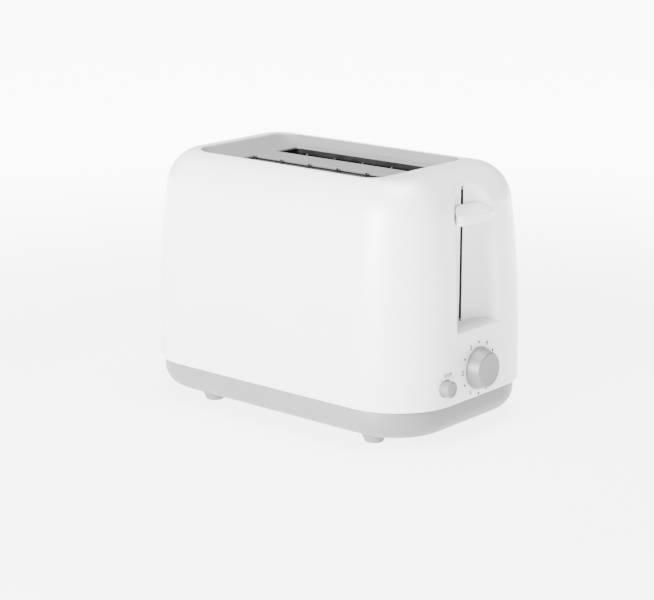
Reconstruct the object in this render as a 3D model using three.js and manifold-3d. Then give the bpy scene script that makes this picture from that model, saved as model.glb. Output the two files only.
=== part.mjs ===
// Two-slice pop-up toaster, millimetres, +Z up.
// +X is the control end with the lever and the dial, -X the end where the crumb tray pulls out.
// Shapes are written about the middle of the housing, and the whole group is then shifted along X
// so that its origin is the middle of the bounding box, on the surface the feet stand on.
import * as THREE from "three";
import { mergeVertices } from "three/addons/utils/BufferGeometryUtils.js";
import Module from "manifold-3d";

const wasm = await Module();
wasm.setup();

// ---------- Driving dimensions ----------
const GAP = 0.3; // between pieces that rest on or seat in each other

// Housing
const LENGTH = 258;
const WIDTH = 159;
const HEIGHT = 183.3; // top of the housing above the table
const WALL = 2.5;
const CORNER_RADIUS = 47.8; // plan corners at the foot of the housing
const CORNER_TIGHTENING = 1.07; // how fast the plan corners tighten as the sides lean in
const SMALLEST_CORNER = 6;
const LEAN = 11.55; // how far the sides would lean in at the very top
const LEAN_POWER = 2.75;
const LEAN_START = 14.4; // height where the lean begins
const TOP_RADIUS = 25.8;
const SHELL_BOTTOM = 28.5;

// Base
const BASE_BOTTOM = 6.5;
const SCREW_HEAD_ROOM = 7.5; // ceiling of the screw holes above the base
const BASE_INSET = 3.3;
const BASE_EDGE_RADIUS = 14;
const BASE_LIP = 5; // how far the base wall stands up inside the housing
const FOOT_RADIUS_BOTTOM = 6.7;
const FOOT_RADIUS_TOP = 9;
const FOOT_SPREAD_X = 151.1;
const FOOT_SPREAD_Y = 110.8;
const FEET_SHIFT_X = 6.05;

// Top opening and its dished insert
const OPENING_LENGTH = 168;
const OPENING_WIDTH = 103;
const OPENING_CORNER = 13;
const OPENING_SHIFT_X = -7;
const RIM_DROP = 1.9; // rim of the insert below the top of the housing
const DISH_DEPTH = 7.7; // slot plane below the top of the housing
const DISH_FLOOR_MARGIN = 3; // floor of the dish beyond the slots
const DISH_FLOOR_CORNER = 6;
const INSERT_THICKNESS = 2.2;
const SLOT_LENGTH = 137;
const SLOT_WIDTH = 25.7;
const SLOT_PITCH = 48.9;
const SLOT_END_RADIUS = 3;
const SLOT_SKIRT = 3.4; // lip hanging below the insert round each slot
const SKIRT_WALL = 1.5;

// Lever channel and lever
const CHANNEL_RADIUS = 26.2;
const CHANNEL_DEPTH = 17; // below the end face
const CHANNEL_LEDGE = 77.5;
const SLIT_WIDTH = 2.2;
const SLIT_TOP_DROP = 9.3; // top of the slit below the top of the housing
const LEVER_DROP = 33.3; // underside of the lever knob below the top of the housing, at rest
const LEVER_TRAVEL_DOWN = 66;
const LEVER_TRAVEL_UP = 12;
const LEVER_CLEARANCE = 0.9; // lever knob to channel wall
const LEVER_HALF_SPAN = 21.2;
const LEVER_FACE_HEIGHT = 6.4; // front face of the knob
const LEVER_RISE = 5; // top edge of the front face up to the top of the knob's back
const LEVER_BULGE = 2.2; // middle of the front face beyond its ends
const LEVER_TONGUE_SETBACK = 7.5; // end of the arm's tongue behind the end face
const LEVER_TONGUE_RISE = 1.6; // tongue above the knob's underside
const LEVER_TONGUE_HEIGHT = 3.8;

// Dial and stop button
const DIAL_HEIGHT = 48.8;
const DIAL_RADIUS = 14.9;
const DIAL_FACE_RADIUS = 10.8;
const DIAL_REACH = 9.4; // front of the dial beyond the end face
const DIAL_CLEARANCE = 0.4;
const SHAFT_RADIUS = 3;
const BUTTON_Y = -36.8;
const BUTTON_HEIGHT = 42.3;
const BUTTON_RADIUS = 5.8;
const BUTTON_REACH = 5.5;
const BUTTON_TRAVEL = 2.5;
const BUTTON_CLEARANCE = 0.4;

// Heating chamber
const SHEET = 1; // steel sheet of the bulkheads
const THIN_SHEET = 0.8;
const CHAMBER_FLOOR = 22;
const CHAMBER_HALF_WIDTH = 56;
const REFLECTOR_Y = 52;
const HEATER_Y = 46;
const WIRE_RADIUS = 0.9;
const GUARD_WIRES = 6;
const OUTER_GUARD_INSET = 1; // guard wire inside the slot's long edges
const INNER_GUARD_INSET = 2.6;
const GUARD_PIVOT_HEIGHT = 32;
const OUTER_GUARD_DROP = 16; // top bar of the outer guards below the top of the housing
const INNER_GUARD_DROP = 10.7;
const INNER_TIP_RISE = 0.4; // tips of the inner guards' wires above the slots
const RIBBON_STRIPS = 8;
const RACK_HEIGHT = 90; // foot of the bread racks, raised
const RACK_DEPTH = 7;
const RACK_FINS = 7;
const RACK_FIN_HALF_WIDTH = 8;

// Mechanism bay, places along X measured from the front bulkhead
const CARRIAGE_OFFSET = 6;
const CARRIAGE_SHEET = 1.5;
const FLANGE = 1.7; // thickness of the bulkhead's flanges
const ROD_OFFSET = 12;
const ROD_Y = 14;
const ROD_RADIUS = 3;
const ROD_RUNNING_CLEARANCE = 0.3;
const BUSH_WALL = 2.7;
const SPRING_Y = -14;
const SPRING_RADIUS = 3.5;
const SPRING_WIRE = 0.6;
const SPRING_TURNS = 9;
const MAGNET_SIZE = 14;
const MAGNET_Y = 31;
const MAGNET_TOP = 39;
const MAGNET_HEIGHT = 19.4; // core and coil together
const MAGNET_OFFSET = 20;

// Control board, places along X measured back from the end face
const BOARD_SETBACK = 25;
const BOARD_THICKNESS = 1.6;
const BOARD_BOTTOM = 30;
const BOARD_TOP = 70;
const BOARD_LEFT = -44;
const BOARD_RIGHT = 26;
const BOARD_SCREW_RISE = 4; // board screws above the board's lower edge

// Crumb tray
const TRAY_LENGTH = 178.7;
const TRAY_HALF_WIDTH = 45;
const TRAY_BOTTOM = 12;
const TRAY_DEPTH = 7;
const TRAY_HANDLE_DEPTH = 12.7;
const TRAY_LIP_REACH = 2;
const TRAY_CLEARANCE = 0.4;

// Fasteners and the mains inlet
const SCREW_REACH = 28; // case screws out from the plan corner's centre
const SCREW_RADIUS = 1.6;
const SCREW_HEAD_RADIUS = 3.4;
const SCREW_HEAD_HEIGHT = 2.2;
const POST_RADIUS = 5.5;
const GLAND_Y = 22;
const GLAND_HEIGHT = 40;
const GLAND_RADIUS = 6;
const GLAND_BORE = 3.6;
const GLAND_FLANGE = 2;
const LEAD_RADIUS = 1.5;

// ---------- Places worked out from them ----------
const endX = LENGTH / 2;
const slotPlane = HEIGHT - DISH_DEPTH;
const insertUnder = slotPlane - INSERT_THICKNESS;
const skirtBottom = insertUnder - SLOT_SKIRT;
const bulkheadTop = insertUnder - 0.8;
const bulkheadX = SLOT_LENGTH / 2 + 3.5; // inner face of each bulkhead
const bayX = bulkheadX + SHEET;
const channelX = endX - CHANNEL_DEPTH + CHANNEL_RADIUS; // axis of the channel's round wall
const leverZ = HEIGHT - LEVER_DROP;
const boardX = endX - BOARD_SETBACK;
const carriageX = bayX + CARRIAGE_OFFSET - SHEET;
const rodX = bayX + ROD_OFFSET - SHEET;
const magnetX = bayX + MAGNET_OFFSET - SHEET;
const armatureZ = MAGNET_TOP + 0.5 + LEVER_TRAVEL_DOWN;
const screwX = endX - CORNER_RADIUS + SCREW_REACH * Math.SQRT1_2;
const screwY = WIDTH / 2 - CORNER_RADIUS + SCREW_REACH * Math.SQRT1_2;
const baseTop = SHELL_BOTTOM + BASE_LIP;
const baseFloor = BASE_BOTTOM + WALL;
const slotY = SLOT_PITCH / 2;

// ---------- Materials ----------
const plastic = (color, roughness = 0.35) => new THREE.MeshStandardMaterial({ color, roughness, metalness: 0 });
const metal = (color, roughness = 0.35) => new THREE.MeshStandardMaterial({ color, roughness, metalness: 1 });
const materials = {
  whitePlastic: plastic(0xf2f2f0, 0.3),
  greyPlastic: plastic(0xb4b5b7, 0.45),
  baseGrey: plastic(0xc8c9cb, 0.4),
  rubber: plastic(0xc0c0c0, 0.8),
  darkPlastic: plastic(0x2b2b2d, 0.5),
  steel: metal(0xb9bcc0, 0.4),
  galvanised: metal(0xa3a7ab, 0.5),
  mica: plastic(0xb59a6c, 0.5),
  nichrome: metal(0x8c7b6e, 0.5),
  copper: metal(0xb8703c, 0.4),
  board: plastic(0x3b6b45, 0.5),
  leadWhite: plastic(0xd9d9d4, 0.5),
};

// ---------- Solids ----------
// A closed geometry as a manifold solid.
function solid(geometry) {
  const bare = geometry.clone();
  bare.deleteAttribute("normal");
  bare.deleteAttribute("uv");
  const merged = mergeVertices(bare, 1e-4);
  const mesh = new wasm.Mesh({
    numProp: 3,
    vertProperties: new Float32Array(merged.attributes.position.array),
    triVerts: new Uint32Array(merged.index.array),
  });
  return new wasm.Manifold(mesh);
}

// A manifold solid as a geometry.
function geometryOf(shape) {
  const mesh = shape.getMesh();
  const geometry = new THREE.BufferGeometry();
  geometry.setAttribute("position", new THREE.BufferAttribute(new Float32Array(mesh.vertProperties), 3));
  geometry.setIndex(new THREE.BufferAttribute(new Uint32Array(mesh.triVerts), 1));
  geometry.computeVertexNormals();
  return geometry;
}

const join = (shapes) => shapes.reduce((whole, shape) => whole.add(shape));

function box(x0, x1, y0, y1, z0, z1) {
  const geometry = new THREE.BoxGeometry(x1 - x0, y1 - y0, z1 - z0);
  geometry.translate((x0 + x1) / 2, (y0 + y1) / 2, (z0 + z1) / 2);
  return solid(geometry);
}

// A round bar between two points.
function rod(radius, from, to, sides = 24) {
  const start = new THREE.Vector3(...from);
  const along = new THREE.Vector3(...to).sub(start);
  const geometry = new THREE.CylinderGeometry(radius, radius, along.length(), sides);
  geometry.translate(0, along.length() / 2, 0);
  const turn = new THREE.Quaternion().setFromUnitVectors(new THREE.Vector3(0, 1, 0), along.normalize());
  geometry.applyQuaternion(turn);
  geometry.translate(start.x, start.y, start.z);
  return solid(geometry);
}

// A body through rings of equal point counts, closed by a fan at each end.
function loft(rings) {
  const count = rings[0].length;
  const points = rings.flat();
  const middle = (ring) => ring.reduce((sum, p) => sum.add(p), new THREE.Vector3()).divideScalar(count);
  const last = (rings.length - 1) * count;
  const firstCentre = points.push(middle(rings[0])) - 1;
  const lastCentre = points.push(middle(rings[rings.length - 1])) - 1;
  const index = [];
  for (let j = 0; j < count; j++) {
    const next = (j + 1) % count;
    for (let i = 0; i < last; i += count) {
      index.push(i + j, i + next, i + count + next);
      index.push(i + j, i + count + next, i + count + j);
    }
    index.push(firstCentre, next, j);
    index.push(lastCentre, last + j, last + next);
  }
  const geometry = new THREE.BufferGeometry().setFromPoints(points);
  geometry.setIndex(index);
  return solid(geometry);
}

// A rounded rectangle of points at height z, anticlockwise from above.
function roundedRing(halfX, halfY, radius, z, shiftX = 0, steps = 8) {
  const ring = [];
  for (let corner = 0; corner < 4; corner++) {
    const side = [corner === 0 || corner === 3 ? 1 : -1, corner < 2 ? 1 : -1];
    for (let i = 0; i <= steps; i++) {
      const angle = ((corner + i / steps) * Math.PI) / 2;
      const x = shiftX + side[0] * (halfX - radius) + radius * Math.cos(angle);
      const y = side[1] * (halfY - radius) + radius * Math.sin(angle);
      ring.push(new THREE.Vector3(x, y, z));
    }
  }
  return ring;
}

// A turned body about the X axis through (y, z): points are [radius, x].
function turnedX(points, y, z, sides = 24) {
  const outline = points.map(([radius, x]) => new THREE.Vector2(radius, x));
  const geometry = new THREE.LatheGeometry(outline, sides);
  geometry.rotateZ(-Math.PI / 2);
  geometry.translate(0, y, z);
  return solid(geometry);
}

// A turned body about the Z axis through (x, y): points are [radius, z].
function turnedZ(points, x, y, sides = 24) {
  const outline = points.map(([radius, z]) => new THREE.Vector2(radius, z));
  const geometry = new THREE.LatheGeometry(outline, sides);
  geometry.rotateX(Math.PI / 2);
  geometry.translate(x, y, 0);
  return solid(geometry);
}

// A flat profile in the XZ plane, [x, z] points, with a thickness about y.
function plateXZ(points, y, thickness) {
  const shape = new THREE.Shape(points.map(([x, z]) => new THREE.Vector2(x, z)));
  const geometry = new THREE.ExtrudeGeometry(shape, { depth: thickness, bevelEnabled: false });
  geometry.rotateX(Math.PI / 2);
  geometry.translate(0, y + thickness / 2, 0);
  return solid(geometry);
}

// ---------- Housing surface ----------
const lean = (z) => LEAN * Math.pow(Math.max(0, (z - LEAN_START) / (HEIGHT - LEAN_START)), LEAN_POWER);

// Rings of the housing surface, moved inwards by a wall, from a height up to the top.
function housingRings(inward, fromZ) {
  const shoulder = HEIGHT - TOP_RADIUS;
  const slope = (lean(shoulder) - lean(shoulder - 1)) * 0.6;
  const radius = TOP_RADIUS - inward;
  const sideSteps = 6;
  const shoulderSteps = 7;
  const levels = [];
  for (let i = 0; i < sideSteps; i++) {
    const z = fromZ + (shoulder - fromZ) * Math.sqrt(i / sideSteps);
    levels.push([z, inward + lean(z)]);
  }
  for (let i = 0; i <= shoulderSteps; i++) {
    const angle = (i / shoulderSteps) * (Math.PI / 2);
    const inset = inward + lean(shoulder) + radius * (1 - Math.cos(angle)) + slope * radius * Math.sin(angle);
    levels.push([shoulder + radius * Math.sin(angle), inset]);
  }
  return levels.map(([z, inset]) => {
    const corner = Math.max(CORNER_RADIUS - CORNER_TIGHTENING * inset, SMALLEST_CORNER);
    return roundedRing(endX - inset, WIDTH / 2 - inset, corner, z);
  });
}

// Rings of the base surface, moved inwards by a wall.
function baseRings(inward, topZ) {
  const radius = BASE_EDGE_RADIUS - inward;
  const steps = 5;
  const rings = [];
  for (let i = 0; i <= steps; i++) {
    const angle = (i / steps) * (Math.PI / 2);
    const inset = BASE_INSET + inward + radius * (1 - Math.sin(angle));
    const z = BASE_BOTTOM + inward + radius * (1 - Math.cos(angle));
    rings.push(roundedRing(endX - inset, WIDTH / 2 - inset, CORNER_RADIUS - inset, z));
  }
  const wallInset = BASE_INSET + inward;
  rings.push(roundedRing(endX - wallInset, WIDTH / 2 - wallInset, CORNER_RADIUS - wallInset, topZ));
  return rings;
}

const corners = [
  [1, -1],
  [1, 1],
  [-1, 1],
  [-1, -1],
];

function makeShell() {
  const outer = loft(housingRings(0, SHELL_BOTTOM));
  const inner = loft(housingRings(WALL, SHELL_BOTTOM - 1));
  const backing = rod(CHANNEL_RADIUS + WALL, [channelX, 0, CHANNEL_LEDGE - WALL], [channelX, 0, HEIGHT + 10], 44);
  const channel = rod(CHANNEL_RADIUS, [channelX, 0, CHANNEL_LEDGE], [channelX, 0, HEIGHT + 11], 44);
  const halfSlit = SLIT_WIDTH / 2;
  const slit = box(bayX, channelX, -halfSlit, halfSlit, CHANNEL_LEDGE + 0.5, HEIGHT - SLIT_TOP_DROP);
  // The opening flares above the insert's rim.
  const rimZ = HEIGHT - RIM_DROP;
  const flare = RIM_DROP + 1;
  const openingRings = [
    [HEIGHT - TOP_RADIUS, 0],
    [rimZ - GAP, 0],
    [rimZ - GAP + flare, flare],
  ];
  const opening = loft(
    openingRings.map(([z, grow]) => {
      const halfX = OPENING_LENGTH / 2 + grow;
      const halfY = OPENING_WIDTH / 2 + grow;
      return roundedRing(halfX, halfY, OPENING_CORNER + grow, z, OPENING_SHIFT_X);
    }),
  );
  const bosses = corners.map(([sx, sy]) => makeShellBoss(sx, sy));
  const shaftHole = rod(SHAFT_RADIUS + 2, [endX - 10, 0, DIAL_HEIGHT], [endX + 5, 0, DIAL_HEIGHT]);
  const buttonHole = rod(
    BUTTON_RADIUS + BUTTON_CLEARANCE,
    [endX - 10, BUTTON_Y, BUTTON_HEIGHT],
    [endX + 5, BUTTON_Y, BUTTON_HEIGHT],
  );
  const glandHole = rod(GLAND_RADIUS + GAP, [-endX - 5, GLAND_Y, GLAND_HEIGHT], [10 - endX, GLAND_Y, GLAND_HEIGHT]);
  return join([outer.subtract(inner), outer.intersect(backing), ...bosses])
    .subtract(channel)
    .subtract(slit)
    .subtract(opening)
    .subtract(join([shaftHole, buttonHole]))
    .subtract(glandHole);
}

// A screw boss on the inside of the housing, with a rib out to the corner wall.
function makeShellBoss(sx, sy) {
  const bottom = baseTop + 0.5;
  const top = bottom + 13;
  const reach = CORNER_RADIUS - SCREW_REACH - WALL / 2;
  const rib = new THREE.BoxGeometry(reach, 3, top - bottom);
  rib.translate(reach / 2, 0, 0);
  rib.rotateZ(Math.atan2(sy, sx));
  rib.translate(sx * screwX, sy * screwY, (bottom + top) / 2);
  const boss = rod(POST_RADIUS, [sx * screwX, sy * screwY, bottom], [sx * screwX, sy * screwY, top], 16);
  const hole = rod(
    SCREW_RADIUS + GAP,
    [sx * screwX, sy * screwY, bottom - 1],
    [sx * screwX, sy * screwY, top - 1],
    12,
  );
  return boss.add(solid(rib)).subtract(hole);
}

// ---------- Base ----------
const trayHandleBox = (gap) => [
  TRAY_HALF_WIDTH + 2 - gap,
  TRAY_BOTTOM - 0.8 + gap,
  TRAY_BOTTOM + TRAY_DEPTH + 2.5 - gap,
];

function makeBase() {
  const pan = loft(baseRings(0, baseTop)).subtract(loft(baseRings(WALL, baseTop + 1)));
  const parts = [pan];
  const cuts = [];
  const headRoom = BASE_BOTTOM + SCREW_HEAD_ROOM;
  for (const [sx, sy] of corners) {
    const x = sx * screwX;
    const y = sy * screwY;
    parts.push(rod(POST_RADIUS, [x, y, BASE_BOTTOM + 1], [x, y, baseTop + 0.2], 16));
    cuts.push(rod(SCREW_RADIUS + GAP, [x, y, 0], [x, y, baseTop + 1], 12));
    cuts.push(rod(SCREW_HEAD_RADIUS + 0.5, [x, y, 0], [x, y, headRoom], 16));
  }
  // Rails under the crumb tray, board posts, and seats for the magnet and the contacts.
  for (const side of [-1, 1]) {
    const railY = side * (TRAY_HALF_WIDTH - 6);
    parts.push(box(-endX + 30, bulkheadX - 6, railY - 1, railY + 1, baseFloor - 1, TRAY_BOTTOM - GAP));
  }
  for (const y of [BOARD_LEFT + 5, BOARD_RIGHT - 5]) {
    parts.push(box(boardX - 6 - GAP, boardX - GAP, y - 3, y + 3, baseFloor - 1, BOARD_BOTTOM + 12));
    cuts.push(rod(SCREW_RADIUS - 0.2, [boardX - 6, y, BOARD_BOTTOM + BOARD_SCREW_RISE], [boardX, y, BOARD_BOTTOM + BOARD_SCREW_RISE], 12));
  }
  const half = MAGNET_SIZE / 2;
  parts.push(box(magnetX - half, magnetX + half, MAGNET_Y - half, MAGNET_Y + half, baseFloor - 1, MAGNET_TOP - MAGNET_HEIGHT));
  const [openHalf, openBottom, openTop] = trayHandleBox(0);
  cuts.push(box(-endX - 1, -endX + 24, -openHalf, openHalf, openBottom, openTop));
  // Cooling slots in the floor.
  for (const side of [-1, 1]) {
    for (let i = -2; i <= 2; i++) {
      cuts.push(box(i * 25 - 2, i * 25 + 2, side * 22 - 15, side * 22 + 15, 0, baseFloor + 1));
    }
  }
  return join(parts).subtract(join(cuts));
}

function makeFoot(x, y) {
  const top = BASE_BOTTOM - GAP;
  const outline = [
    [0, 0],
    [FOOT_RADIUS_BOTTOM - 0.8, 0],
    [FOOT_RADIUS_BOTTOM, 0.8],
    [FOOT_RADIUS_TOP, top],
    [0, top],
  ];
  return turnedZ(outline, x, y, 20);
}

// ---------- Dished top insert ----------
function slotRing(z, slot, grow) {
  const ring = roundedRing(SLOT_LENGTH / 2 + grow, SLOT_WIDTH / 2 + grow, SLOT_END_RADIUS + grow, z, 0, 4);
  return ring.map((p) => p.add(new THREE.Vector3(0, slot, 0)));
}

function makeTopInsert() {
  const rim = HEIGHT - RIM_DROP;
  const halfX = OPENING_LENGTH / 2 - GAP;
  const halfY = OPENING_WIDTH / 2 - GAP;
  const rimCorner = OPENING_CORNER - GAP;
  // The floor of the dish is centred on the slots, its rim on the opening.
  const floorX = SLOT_LENGTH / 2 + DISH_FLOOR_MARGIN;
  const floorY = slotY + SLOT_WIDTH / 2 + DISH_FLOOR_MARGIN;
  const between = (share, drop) =>
    roundedRing(
      halfX + (floorX - halfX) * share,
      halfY + (floorY - halfY) * share,
      rimCorner + (DISH_FLOOR_CORNER - rimCorner) * share,
      drop,
      OPENING_SHIFT_X * (1 - share),
    );
  const rings = [between(1, insertUnder), between(0.3, insertUnder + 2.5), between(0, rim - INSERT_THICKNESS)];
  rings.push(between(0, rim));
  for (const share of [0.25, 0.5, 0.75, 1]) {
    rings.push(between(share, slotPlane + (rim - slotPlane) * (1 - Math.sin((share * Math.PI) / 2))));
  }
  const skirts = [-slotY, slotY].map((y) =>
    loft([slotRing(skirtBottom, y, SKIRT_WALL), slotRing(slotPlane - 1, y, SKIRT_WALL)]),
  );
  const slots = [-slotY, slotY].map((y) => loft([slotRing(skirtBottom - 1, y, 0), slotRing(HEIGHT, y, 0)]));
  return loft(rings).add(join(skirts)).subtract(join(slots));
}

// ---------- Lever ----------
// The knob's back follows the round wall of the channel; its front stands out of the channel.
function makeLeverKnob() {
  const wallX = (y) => channelX - Math.sqrt((CHANNEL_RADIUS - LEVER_CLEARANCE) ** 2 - y * y);
  const tipX = wallX(LEVER_HALF_SPAN) + 0.6;
  const fullDepth = tipX + LEVER_BULGE - wallX(0);
  const sections = 16;
  const rings = [];
  for (let i = 0; i <= sections; i++) {
    const s = Math.sin((0.5 - i / sections) * Math.PI);
    const y = s * LEVER_HALF_SPAN;
    const end = Math.abs(s) ** 6;
    const front = tipX + LEVER_BULGE * (1 - s ** 4) - 0.4 * end;
    const back = wallX(y) - 0.1 * end;
    const share = (front - back) / fullDepth;
    const bottom = leverZ + 1.1 * end;
    const top = leverZ + LEVER_FACE_HEIGHT - 1.5 * end;
    const rise = LEVER_RISE * Math.min(1, share * 1.3);
    const at = (t) => back + (front - back) * t;
    rings.push(
      [
        [at(0), top + rise],
        [at(0), bottom],
        [at(0.9), bottom],
        [at(1), bottom + 0.9],
        [at(1) - 0.1, top - 0.9],
        [at(0.93), top],
        [at(0.5), top + rise * 0.35],
      ].map(([x, z]) => new THREE.Vector3(x, y, z)),
    );
  }
  const half = CARRIAGE_SHEET / 2 + GAP;
  const socket = box(bayX, leverTongueX + GAP, -half, half, tongueLow - GAP, tongueHigh + GAP);
  return loft(rings).subtract(socket);
}

const leverTongueX = endX - LEVER_TONGUE_SETBACK;
const tongueLow = leverZ + LEVER_TONGUE_RISE;
const tongueHigh = tongueLow + LEVER_TONGUE_HEIGHT;

function makeLeverArm() {
  const start = carriageX + CARRIAGE_SHEET + GAP;
  const low = tongueLow;
  const high = tongueHigh;
  const outline = [
    [start, armatureZ + 1],
    [start + 10, armatureZ + 1],
    [start + 14, low - 6],
    [start + 25, low],
    [leverTongueX, low],
    [leverTongueX, high],
    [start + 8, high],
    [start, high - 9],
  ];
  return plateXZ(outline, 0, CARRIAGE_SHEET);
}

// ---------- Carriage ----------
function makeCarriage() {
  const x0 = carriageX;
  const x1 = x0 + CARRIAGE_SHEET;
  const bushRadius = ROD_RADIUS + ROD_RUNNING_CLEARANCE + BUSH_WALL;
  const half = MAGNET_SIZE / 2;
  const tabZ = armatureZ + 2 + GAP;
  const plateFoot = CHAMBER_FLOOR + FLANGE + LEVER_TRAVEL_DOWN + 2 * GAP;
  const plate = box(x0, x1, -slotY - 9, MAGNET_Y + half, plateFoot, tabZ + 20);
  const bush = rod(bushRadius, [rodX, ROD_Y, tabZ - 4], [rodX, ROD_Y, tabZ + 18], 20);
  const web = box(x0, rodX, ROD_Y - 3, ROD_Y + 3, tabZ - 4, tabZ + 18);
  const bore = rod(
    ROD_RADIUS + ROD_RUNNING_CLEARANCE,
    [rodX, ROD_Y, tabZ - 9],
    [rodX, ROD_Y, tabZ + 23],
    20,
  );
  const armatureTab = box(x1 - 0.5, magnetX + half, MAGNET_Y - half, MAGNET_Y + half, tabZ, tabZ + 1.5);
  const springTab = box(x1 - 0.5, rodX + 5, SPRING_Y - 5, SPRING_Y + 5, tabZ + 15, tabZ + 16.5);
  const contactTab = box(x1 - 0.5, rodX + 7, -slotY - 9, -slotY + 1, RACK_HEIGHT + 6, RACK_HEIGHT + 7.5);
  return join([plate, bush, web, armatureTab, springTab, contactTab]).subtract(bore);
}

function makeBreadRack(y) {
  const end = bulkheadX - 5;
  const half = CARRIAGE_SHEET / 2;
  const parts = [box(-end, carriageX - GAP, y - half, y + half, RACK_HEIGHT, RACK_HEIGHT + RACK_DEPTH)];
  for (let i = 0; i < RACK_FINS; i++) {
    const x = -end + 4 + (i * (2 * end - 8)) / (RACK_FINS - 1);
    parts.push(
      box(x - 0.6, x + 0.6, y - RACK_FIN_HALF_WIDTH, y + RACK_FIN_HALF_WIDTH, RACK_HEIGHT + 3, RACK_HEIGHT + RACK_DEPTH + 0.5),
    );
  }
  return join(parts);
}

function makeArmature() {
  const half = MAGNET_SIZE / 2 - 0.5;
  return box(magnetX - half, magnetX + half, MAGNET_Y - half, MAGNET_Y + half, armatureZ, armatureZ + 2);
}

// Tension spring from the carriage up to the bulkhead's top flange.
class Coil extends THREE.Curve {
  constructor(bottom, top) {
    super();
    this.bottom = bottom;
    this.top = top;
  }
  getPoint(t) {
    const angle = t * SPRING_TURNS * 2 * Math.PI;
    const x = rodX + SPRING_RADIUS * Math.cos(angle);
    const y = SPRING_Y + SPRING_RADIUS * Math.sin(angle);
    return new THREE.Vector3(x, y, this.bottom + (this.top - this.bottom) * t);
  }
}

function alongCurve(path, radius, steps, sides) {
  const section = new THREE.Shape();
  for (let i = 0; i < sides; i++) {
    const angle = (i / sides) * 2 * Math.PI;
    const point = [radius * Math.cos(angle), radius * Math.sin(angle)];
    if (i === 0) section.moveTo(...point);
    else section.lineTo(...point);
  }
  section.closePath();
  return solid(new THREE.ExtrudeGeometry(section, { steps, extrudePath: path, bevelEnabled: false }));
}

const flangeZ = bulkheadTop - 6;
const springBottom = armatureZ + 2 + GAP + 16.5 + GAP + SPRING_WIRE;
const springTop = flangeZ - GAP - SPRING_WIRE;
const makeSpring = () => alongCurve(new Coil(springBottom, springTop), SPRING_WIRE, SPRING_TURNS * 8, 4);
const makeGuideRod = () =>
  rod(ROD_RADIUS, [rodX, ROD_Y, CHAMBER_FLOOR + FLANGE + GAP], [rodX, ROD_Y, flangeZ - GAP], 16);

// ---------- Heating chamber ----------
const guardYs = {
  guard_front_outer: -slotY - SLOT_WIDTH / 2 + OUTER_GUARD_INSET,
  guard_front_inner: -slotY + SLOT_WIDTH / 2 - INNER_GUARD_INSET,
  guard_rear_inner: slotY - SLOT_WIDTH / 2 + INNER_GUARD_INSET,
  guard_rear_outer: slotY + SLOT_WIDTH / 2 - OUTER_GUARD_INSET,
};

function makeBulkhead(side) {
  const x0 = side > 0 ? bulkheadX : -bulkheadX - SHEET;
  const x1 = x0 + SHEET;
  const parts = [box(x0, x1, -CHAMBER_HALF_WIDTH, CHAMBER_HALF_WIDTH, CHAMBER_FLOOR, bulkheadTop)];
  for (const end of [-1, 1]) {
    const outer = end * CHAMBER_HALF_WIDTH;
    const inner = end * (TRAY_HALF_WIDTH + 3);
    const [low, high] = [Math.min(outer, inner), Math.max(outer, inner)];
    parts.push(box(x0, x1, low, high, baseFloor + GAP, CHAMBER_FLOOR + 1));
  }
  const cuts = Object.values(guardYs).map((y) =>
    rod(WIRE_RADIUS + 0.5, [x0 - 1, y, GUARD_PIVOT_HEIGHT], [x1 + 1, y, GUARD_PIVOT_HEIGHT], 10),
  );
  if (side > 0) {
    const flangeEnd = rodX + 8;
    parts.push(box(x0, flangeEnd, ROD_Y - 6, ROD_Y + 6, CHAMBER_FLOOR, CHAMBER_FLOOR + FLANGE));
    parts.push(box(x0, flangeEnd, ROD_Y - 6, ROD_Y + 6, flangeZ, flangeZ + FLANGE));
    parts.push(box(x0, flangeEnd, SPRING_Y - 6, SPRING_Y + 6, flangeZ, flangeZ + FLANGE));
    const lowest = RACK_HEIGHT - LEVER_TRAVEL_DOWN - 1;
    const highest = RACK_HEIGHT + RACK_DEPTH + LEVER_TRAVEL_UP + 3;
    for (const y of [-slotY, slotY]) {
      cuts.push(box(x0 - 1, x1 + 1, y - 2, y + 2, lowest, highest));
    }
  }
  return join(parts).subtract(join(cuts));
}

function makeReflector(side) {
  const y = side * REFLECTOR_Y;
  const reach = bulkheadX - GAP;
  const [low, high] = side > 0 ? [y, y + THIN_SHEET] : [y - THIN_SHEET, y];
  return box(-reach, reach, low, high, CHAMBER_FLOOR + 4, bulkheadTop - 1);
}

const heaterBottom = CHAMBER_FLOOR + 14;
const heaterTop = HEIGHT - 23;

function makeMicaBoard(y) {
  const reach = bulkheadX - GAP;
  return box(-reach, reach, y - THIN_SHEET / 2, y + THIN_SHEET / 2, heaterBottom, heaterTop);
}

// A flat ribbon laid back and forth over one face of a board.
function makeRibbon(boardY, face) {
  const near = boardY + face * (THIN_SHEET / 2 + GAP);
  const far = near + face * 0.5;
  const [low, high] = [Math.min(near, far), Math.max(near, far)];
  const reach = bulkheadX - 10;
  const pitch = (heaterTop - heaterBottom - 12) / (RIBBON_STRIPS - 1);
  const parts = [];
  for (let i = 0; i < RIBBON_STRIPS; i++) {
    const z = heaterBottom + 5 + i * pitch;
    parts.push(box(-reach, reach, low, high, z, z + 2));
    if (i < RIBBON_STRIPS - 1) {
      const x = i % 2 ? -reach : reach - 2;
      parts.push(box(x, x + 2, low, high, z + 1, z + pitch + 1));
    }
  }
  return join(parts);
}

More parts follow.
